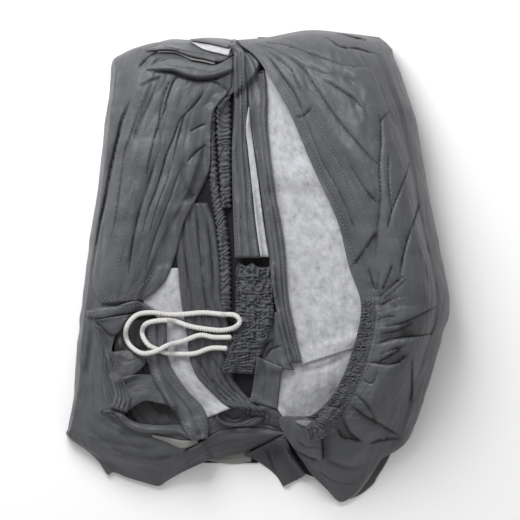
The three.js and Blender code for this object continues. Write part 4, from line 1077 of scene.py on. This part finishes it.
def fold_between(start, end, side, shift):
    """Half turn from the end of one layer to the start of the next."""
    middle = (start + end) / 2
    reach = np.linalg.norm(end - start) / 2 + max(shift, 0)
    angles = np.pi * np.arange(1, FOLD_STEPS + 1) / (FOLD_STEPS + 1)
    return [
        middle + (start - middle) * np.cos(angle) + np.array([side * reach * np.sin(angle), 0, 0])
        for angle in angles
    ]


def build_stack(ground):
    rows = even_grid(stack_rows(), TURN_SPACING)
    normals = normals_of(rows) * facing_up(rows, 0, 1)
    upper, lower = rows + normals * SHELL / 2, rows - normals * SHELL / 2
    # The stack's top is the near-black cloth, painted shade in the recesses between the laid pieces.
    made = sheet_object("inner_folds_cloth", upper, lower, np.zeros(rows.shape[:2]), ["inner", "lining"])
    adopt(made, ["inner_folds"])
    declare_sheet(upper, lower)
    ground.cover(upper[:, -upper.shape[1] // STACK_LAYERS:])


# The two sides of the wrap

def leg_rows(table):
    """One side of the wrap, from its turned edge inwards."""
    lines = np.stack([catmull_rom(section, SECTION_POINTS) for section in table])
    return place(even_grid(catmull_rom(lines, DENSE * len(table)), SPACING))


def uneven(flat, seed):
    """Small unevenness of cloth, in millimetres."""
    x, y = flat[..., 0], flat[..., 1]
    rise = 0
    for number, (height, size, stretch) in enumerate(UNEVEN):
        rise = rise + height * np.abs(noise(x, y * stretch, size, seed + number))
    height, size, stretch = GRAIN
    return rise + height * noise(x, y * stretch, size, seed + len(UNEVEN))


def drawn(grid, seed):
    """Thin wrinkles that run along a cloth from end to end, in patches, in millimetres."""
    x, y = grid[..., 0], grid[..., 1]
    along, across = travelled(grid)[:, None], travelled_across(grid)[None]
    bend, bend_size = DRAWN_BEND
    bent = across + bend * noise(x, y, bend_size, seed)
    rise = 0
    for number, (height, size) in enumerate(DRAWN, 1):
        rise = rise + height * np.abs(noise(bent, along * DRAWN_STRETCH, size, seed + number))
    least, added, patch_size = DRAWN_PATCH
    return (least + added * noise(x, y, patch_size, seed + 1 + len(DRAWN))) * rise


def wrinkles(rows, side):
    """Thin wrinkles along a side of the wrap, and out from the elastic where that gathers it."""
    lengthways = drawn(rows, SIDE_SEEDS["lengthways"])
    if side == "left":
        return lengthways
    lead, turning = ELASTIC_LEAD
    share = np.linspace(0, 1, len(rows))[:, None]
    pulled = np.clip((share - ELASTIC_SPAN[0] + lead) / turning, 0, 1)
    strength, reach = ELASTIC_WRINKLES
    from_hem = np.linalg.norm(rows - rows[:, -1:], axis=-1)
    sideways = drawn(rows.swapaxes(0, 1), SIDE_SEEDS["sideways"]).swapaxes(0, 1)
    sideways = sideways * np.exp(-from_hem / reach) * strength
    return lengthways * (1 - LENGTHWAYS_LOSS * pulled) + sideways * pulled


def side_turn(edge, inward, bow):
    """Half turn of the shell from the floor up to a side's edge, bowed outwards."""
    outward = edge - inward
    outward[:, 2] = 0
    outward = unit(outward)
    height = edge[:, 2]
    reach = bow * np.minimum(1, height / FULL_TURN_HEIGHT)
    length = np.pi / 2 * (height.max() / 2 + bow)
    depth, field, size = DENTS
    columns = []
    for angle in np.linspace(np.pi, 0, COARSE * int(length / TURN_SPACING / COARSE) + 1)[:-1]:
        share = angle / (np.pi / 2)
        if share < 1:
            out = (2 - share) * share
            fall = (1 - share) ** 2 + TURN_FULLNESS * share * (1 - share) + share**2 / 2
        else:
            out = np.sin(angle)
            fall = (1 + np.cos(angle)) / 2
        dents = depth * np.sin(angle) * noise(edge[:, 1], field * angle, size, SIDE_SEEDS["dents"])
        dents = dents * np.minimum(1, height / DENT_HEIGHT)
        point = edge + outward * (reach * out + dents)[:, None]
        point[:, 2] = height * fall
        columns.append(point)
    return np.stack(columns, axis=1)


def build_leg(side, table, ground):
    """One side of the wrap: from under the bundle round its side and over its top, with its creases."""
    rows = leg_rows(table)
    snap(rows, CREASES[side])
    low = np.minimum(1, rows[..., 2] / FULL_TURN_HEIGHT)
    inside = np.minimum(1, edge_distance(rows) / CALM_EDGE)
    rows[..., 2] = np.maximum(rows[..., 2], ground.drape(rows, GAP + SHELL) * (low > DRAPED_FROM))
    hidden = rows.copy()
    hidden[..., 2] -= SHELL + SIDE_HOLLOW * inside * low
    level = np.abs(normals_of(rows)[..., 2])
    low *= np.minimum(1, level / CALM_LEVEL) ** CALM_POWER
    creases = crease_rise(rows, CREASES[side], SIDE_SEEDS["crease"]) * inside * low
    rows[..., 2] += creases + (uneven(rows[..., :2], SIDE_SEEDS["uneven"]) + wrinkles(rows, side)) * low
    rows[..., 2] = np.maximum(rows[..., 2], hidden[..., 2] + SIDE_LEAST)
    opposite = rows[:, 0] * [0, 1, 1]
    turn = side_turn(rows[:, 0], opposite, TURNS[side])
    shares = np.linspace(1, 0, FLOOR_STEPS + 1)[:-1]
    floor = np.stack([turn[:, 0] * [1 - share, 1, 0] for share in shares], axis=1)
    base = np.concatenate([floor, turn], axis=1)
    sheet = np.concatenate([base, rows], axis=1)
    outside = facing_up(sheet, len(sheet) // 2, -PROBE)
    inner = np.concatenate([base - outside * SHELL * normals_of(sheet)[:, :base.shape[1]], hidden], axis=1)
    # Painted shade in the creases, and on steep cloth where light falls less.
    painted_shading = np.maximum(painted_shade_share(-creases), STEEP_PAINTED_SHADE * (1 - level))
    painted_shade = np.pad(painted_shading, ((0, 0), (base.shape[1], 0)), mode="edge")[::outside]
    # The hidden face is the near-black cloth, painted shade.
    made = sheet_object(f"shell_{side}_side", sheet[::outside], inner[::outside], painted_shade, ["shell", "inner"])
    adopt(made, ["shell_wrap"])
    declare_sheet(sheet, inner)
    ground.cover(rows)
    return rows


# Laid strips

def strip_plan(sections, spacing):
    """Grid of a strip from its sections, with heights where they are given."""
    edges = np.array(sections, float).reshape(len(sections), 2, -1)
    edges = np.pad(edges, ((0, 0), (0, 0), (0, 3 - edges.shape[2])))
    curves = even_rows(catmull_rom(edges, DENSE * len(sections)), spacing)
    width = np.linalg.norm(curves[:, 1] - curves[:, 0], axis=1).max()
    share = np.linspace(0, 1, COARSE * max(LEAST_COLUMNS, round(width / spacing / COARSE)) + 1)[:, None]
    return place(curves[:, None, 0] * (1 - share) + curves[:, None, 1] * share)


def edge_distance(grid):
    """Distance of each point of a grid from the nearest edge."""
    along, across = travelled(grid), travelled_across(grid)
    widths = np.linalg.norm(grid[:, -1] - grid[:, 0], axis=1)
    share = across / across[-1]
    sideways = np.minimum(share, 1 - share)[None] * widths[:, None]
    lengthways = np.minimum(along, along[-1] - along)[:, None]
    return np.minimum(sideways, lengthways)


def rounded(grid, roll):
    """Share of its full height that a sheet has, from 0 at its edges to 1 past their roll."""
    return np.sqrt(1 - np.clip(1 - edge_distance(grid) / roll, 0, 1) ** 2)


def gathered(grid, pitch, stray, seed):
    """Uneven gathers across a drawn-up strip, from 0 in their valleys to about 1."""
    x, y = grid[..., 0], grid[..., 1]
    along, across = travelled(grid)[:, None], travelled_across(grid)[None]
    bends = [share * noise(x, y, size * pitch, seed + i) for i, (share, size) in enumerate(GATHER_BENDS)]
    bend = stray * pitch * sum(bends)
    ribs = 0.5 + 0.5 * np.sin(2 * np.pi * (along + bend) / pitch)
    height, power = RIBS
    knot_height, stretch, size = KNOTS
    knots = 1 - np.abs(noise(along + bend, stretch * across, size * pitch, seed + len(GATHER_BENDS)))
    return height * ribs**power + knot_height * knots**2


def crumpled(grid, height, seed):
    """Crumples at the first end of a strip, which fade out along it."""
    fade = np.sqrt(1 - np.linspace(0, 1, len(grid))[:, None])
    waves = [np.abs(noise(grid[..., 0], grid[..., 1], size, seed + i)) for i, size in enumerate(CRUMPLES)]
    return height * fade * (sum(waves) - CRUMPLE_MIDDLE)


def strip_profile(piece, grid, seed):
    """Height of a strip's upper face over its lower one, and its painted shade."""
    across = np.linspace(0, 1, grid.shape[1])[None]
    along = np.linspace(0, 1, len(grid))[:, None]
    length = travelled(grid)[-1]
    wander, field, size = PLEAT_WAVER
    waver = wander * noise(along * length, field * across, size, seed)
    swell = piece.crown * np.sin(np.pi * across) * np.sin(np.pi * (END_SWELL + (1 - 2 * END_SWELL) * along))
    ridges = piece.pleat * np.sqrt(np.abs(np.sin(np.pi * piece.pleats * (across + waver))))
    gathers = 0
    if piece.ruche:
        gathers = piece.ruche * gathered(grid, piece.pitch, piece.stray, seed)
        gathers += crumpled(grid, piece.crumple, seed + STRIP_SEEDS["crumple"])
    creases = crease_rise(grid, CREASES.get(piece.node, []), seed)
    rise = swell + ridges + gathers + creases + uneven(grid[..., :2], seed)
    if piece.finish == "shell":
        rise += drawn(grid, seed + STRIP_SEEDS["drawn"])
    inside = piece.thickness - EDGE + np.maximum(rise, THINNEST - piece.thickness)
    height = EDGE + inside * rounded(grid, piece.roll)
    if piece.lap:
        lapped = (height - LAP_EDGE) * across**LAP_POWER
        height = LAP_EDGE + lapped * np.minimum(1, along * length / LAP_TAPER)
    # Painted shade in the valleys of pleats and gathers and in creases, at least the piece's own share.
    unshaded, strength = PLEAT_PAINTED_SHADE
    valleys = np.maximum(piece.pleat - ridges - unshaded, 0) * strength + RUCHE_PAINTED_SHADE * (piece.ruche - gathers)
    return height, np.maximum(painted_shade_share(valleys - creases), piece.painted_shade_share)


def draw_edges(piece, grid, seed):
    """Draw a gathered strip's edges in and out, and fray its first end."""
    if piece.scallop:
        phase = 2 * np.pi * travelled(grid) / piece.pitch
        side = np.linspace(-1, 1, grid.shape[1])[None] ** SCALLOP_POWER
        wander, size = SCALLOP_STRAY
        waves = np.sin(phase + wander * noise(phase, phase, size, seed))
        grid[..., 0] += piece.scallop * side * waves[:, None]
    if piece.ragged:
        ease = np.linspace(1, 0, len(grid))[:, None] ** RAGGED_POWER
        frayed = noise(grid[..., 0], np.float64(0), RAGGED_SIZE, seed + STRIP_SEEDS["ragged"])
        grid[..., 1] += piece.ragged * ease * frayed


def build_strip(piece, ground, seed):
    grid = strip_plan(piece.sections, FINE if piece.fine else SPACING)
    snap(grid, CREASES.get(piece.node, []))
    draw_edges(piece, grid, seed)
    lower = grid.copy()
    lift = piece.lift * np.linspace(0, 1, len(grid))[:, None] ** LIFT_POWER
    lower[..., 2] = ground.drape(grid, GAP, piece.hanging) + lift
    upper = lower.copy()
    height, painted_shade = strip_profile(piece, grid, seed)
    upper[..., 2] += height
    outside = facing_up(upper, PROBE, PROBE)
    painted_shade = painted_shade[::outside] * (piece.finish != "lining")
    made = sheet_object(f"{piece.node}_cloth", upper[::outside], lower[::outside], painted_shade, [piece.finish])
    adopt(made, [] if piece.extra else [piece.node])
    declare_sheet(upper, lower)
    ground.cover(upper)


# Elastic in the right hem

def elastic_grid(leg):
    """Part of the right side along its hem, narrower where the elastic starts."""
    first, last = (int(share * len(leg)) for share in ELASTIC_SPAN)
    inwards = leg[first:last, ::-1]
    columns = int(np.searchsorted(travelled_across(inwards), ELASTIC_WIDTH))
    grid = even_grid(inwards[:, :columns], ELASTIC_SPACING)
    across = np.linspace(0, 1, grid.shape[1])
    for row, share in zip(grid, np.linspace(ELASTIC_START, 1, len(grid))):
        row[:] = np.stack([np.interp(share * across, across, axis) for axis in row.T], axis=1)
    return grid


def build_elastic(leg, ground):
    """Drawn-up casing along the right hem, on the side's own surface."""
    grid = elastic_grid(leg)
    across = np.linspace(0, 1, grid.shape[1])[None]
    wander, size = ELASTIC_BEND
    bent = across + wander * noise(grid[..., 0], grid[..., 1], size, ELASTIC_SEED + 1)
    rows = np.sqrt(np.abs(np.sin(np.pi * bent * ELASTIC_ROWS)))
    channel = ELASTIC_CHANNEL + (1 - ELASTIC_CHANNEL) * rows
    gathers = ELASTIC_RUCHE * gathered(grid, ELASTIC_PITCH, ELASTIC_STRAY, ELASTIC_SEED) * channel
    merge_width, merge_length, power = ELASTIC_MERGE
    merging = np.clip((1 - across) / merge_width, 0, 1) ** power
    merging = merging * np.clip(travelled(grid) / merge_length, 0, 1)[:, None] ** power
    edge, body = ELASTIC_BODY
    upper = grid.copy()
    upper[..., 2] += edge + (body + gathers) * rounded(grid, ELASTIC_ROLL) * merging
    lower = grid - [0, 0, ELASTIC_DEPTH]
    outside = facing_up(upper, len(upper) // 2, PROBE)
    # Painted shade in the low places between the gathers.
    unshaded, strength = ELASTIC_PAINTED_SHADE
    painted_shade = (painted_shade_share((unshaded - gathers) * strength) * merging)[::outside]
    made = sheet_object("hem_elastic", upper[::outside], lower[::outside], painted_shade, ["elastic"])
    adopt(made, [])
    declare_sheet(upper, lower)
    ground.cover(upper)


# Stitching

def build_stitches(ground):
    """All the stitches as one mesh: small pointed bars along each row, lying on the cloth."""
    lines = [even_rows(catmull_rom(place(row), DENSE * len(row)), STITCH_STEP) for row in STITCH_ROWS]
    middles = np.concatenate(lines)
    tangents = unit(np.concatenate([np.gradient(line, axis=0) for line in lines]))
    ends = [middles + tangents * STITCH / 2 * side for side in (-1, 1)]
    tips = [np.column_stack([end, ground.under(end)]) for end in ends]
    forward = tips[1] - tips[0]
    sideways = np.column_stack([-tangents[:, 1], tangents[:, 0], np.zeros(len(tangents))]) * THREAD
    upwards = np.array([0, 0, THREAD])
    rings = [
        tips[0] + forward * share + offset
        for share in STITCH_BODY for offset in (sideways, upwards, -sideways, -upwards)
    ]
    points = np.stack([*tips, *rings], axis=1)
    faces = []
    for side in range(STITCH_SIDES):
        near, beside = len(tips) + side, len(tips) + (side + 1) % STITCH_SIDES
        far, far_beside = near + STITCH_SIDES, beside + STITCH_SIDES
        faces += [(0, beside, near), (1, far, far_beside)]
        faces += [(near, beside, far_beside), (near, far_beside, far)]
    firsts = np.arange(len(points))[:, None, None] * points.shape[1]
    numbers = (firsts + np.array(faces)).reshape(-1, 3).tolist()
    made = mesh_object("hem_stitching", points, numbers, ["thread"])
    adopt(made, [])


# The tie cord

def cord_path(ground):
    """Middle line of the cord, lying on what is under it and bridging small hollows."""
    route = np.array(CORD_ROUTE, float)
    curve = even_rows(catmull_rom(route, DENSE * len(route)), CORD_SPACING)
    flat = place(curve[:, :2])
    sides = (-CORD_FOOT, 0, CORD_FOOT)
    rest = np.max([ground.under(flat + [dx, dy]) for dx in sides for dy in sides], axis=0)
    heights = rest
    for _ in range(CORD_ROUNDS):
        wide = np.pad(heights, 1, mode="edge")
        heights = np.maximum(rest, (wide[:-2] + 2 * wide[1:-1] + wide[2:]) / 4)
    over = curve[:, 2] * (CORD + GAP)
    return np.column_stack([flat, heights + over + CORD / 2 + CORD_GAP])


def build_cord(ground):
    path = cord_path(ground)
    tangents = unit(np.gradient(path, axis=0))
    sideways = unit(np.cross(tangents, [0, 0, 1.0]))
    upwards = np.cross(sideways, tangents)
    turn = np.linspace(0, 2 * np.pi, CORD_SIDES, endpoint=False)[None]
    travel = travelled(path)[:, None]
    twist = travel * BRAID_TWIST
    strands = np.maximum(np.sin(BRAID_STRANDS * turn + twist), np.sin(BRAID_STRANDS * turn - twist))
    ends = np.sqrt(np.clip(np.minimum(travel, travel[-1] - travel) / CORD_TIP, TIP_LEAST, 1))
    radius = (CORD / 2) * (BRAID_CORE + BRAID_RELIEF * strands) * ends
    around = np.cos(turn)[..., None] * sideways[:, None] + np.sin(turn)[..., None] * upwards[:, None]
    made = tube_object("tie_cord_braid", path[:, None] + radius[..., None] * around)
    adopt(made, ["tie_cord"])
    length = float(travelled(path)[-1]) * MM


def tube_object(name, points):
    """Closed tube from rings of points, with flat ends."""
    rows, sides = points.shape[:2]
    numbers = np.arange(rows * sides).reshape(rows, sides)
    beside = np.roll(numbers, -1, axis=1)
    corners = [numbers[:-1], beside[:-1], beside[1:], numbers[1:]]
    faces = np.stack([corner.ravel() for corner in corners], axis=1).tolist()
    faces += [numbers[0, ::-1].tolist(), numbers[-1].tolist()]
    made = mesh_object(name, points, faces, ["cord"])
    around = np.abs(np.linspace(-1, 1, sides)) * CORD
    add_uv(made.data, np.stack(np.meshgrid(around, travelled(points)), axis=-1).reshape(-1, 2))
    return made


# Camera, light and floor

def build_camera():
    camera = bpy.data.cameras.new("camera")
    camera.lens = CAMERA_LENS
    camera.sensor_width = CAMERA_SENSOR
    made = link("camera", camera)
    made.location = CAMERA_PLACE
    bpy.context.scene.camera = made


def build_light(name, location, size, power):
    light = bpy.data.lights.new(name, "AREA")
    light.shape = "DISK"
    light.size = size
    light.energy = power
    made = link(name, light)
    made.location = location
    made.rotation_euler = (-made.location).to_track_quat("-Z", "Y").to_euler()


def build_stage():
    corners = np.array([(x, y, FLOOR_LEVEL) for x, y in FLOOR_CORNERS])
    mesh_object("floor", corners, [(0, 1, 2, 3)], ["floor"])
    world = bpy.data.worlds.new("studio")
    world.use_nodes = True
    background = world.node_tree.nodes["Background"]
    background.inputs["Color"].default_value = (1, 1, 1, 1)
    background.inputs["Strength"].default_value = WORLD_STRENGTH
    bpy.context.scene.world = world
    bpy.context.scene.view_settings.view_transform = "Standard"
    for row in LIGHTS:
        build_light(*row)


build_camera()
build_stage()
ground = Ground()
build_stack(ground)
for number, piece in enumerate(PIECES):
    if piece == "left":
        build_leg("left", LEFT_LEG, ground)
    elif piece == "right":
        build_elastic(build_leg("right", RIGHT_LEG, ground), ground)
    else:
        build_strip(piece, ground, FIRST_SEED + SEED_STEP * number)
build_stitches(ground)
build_cord(ground)
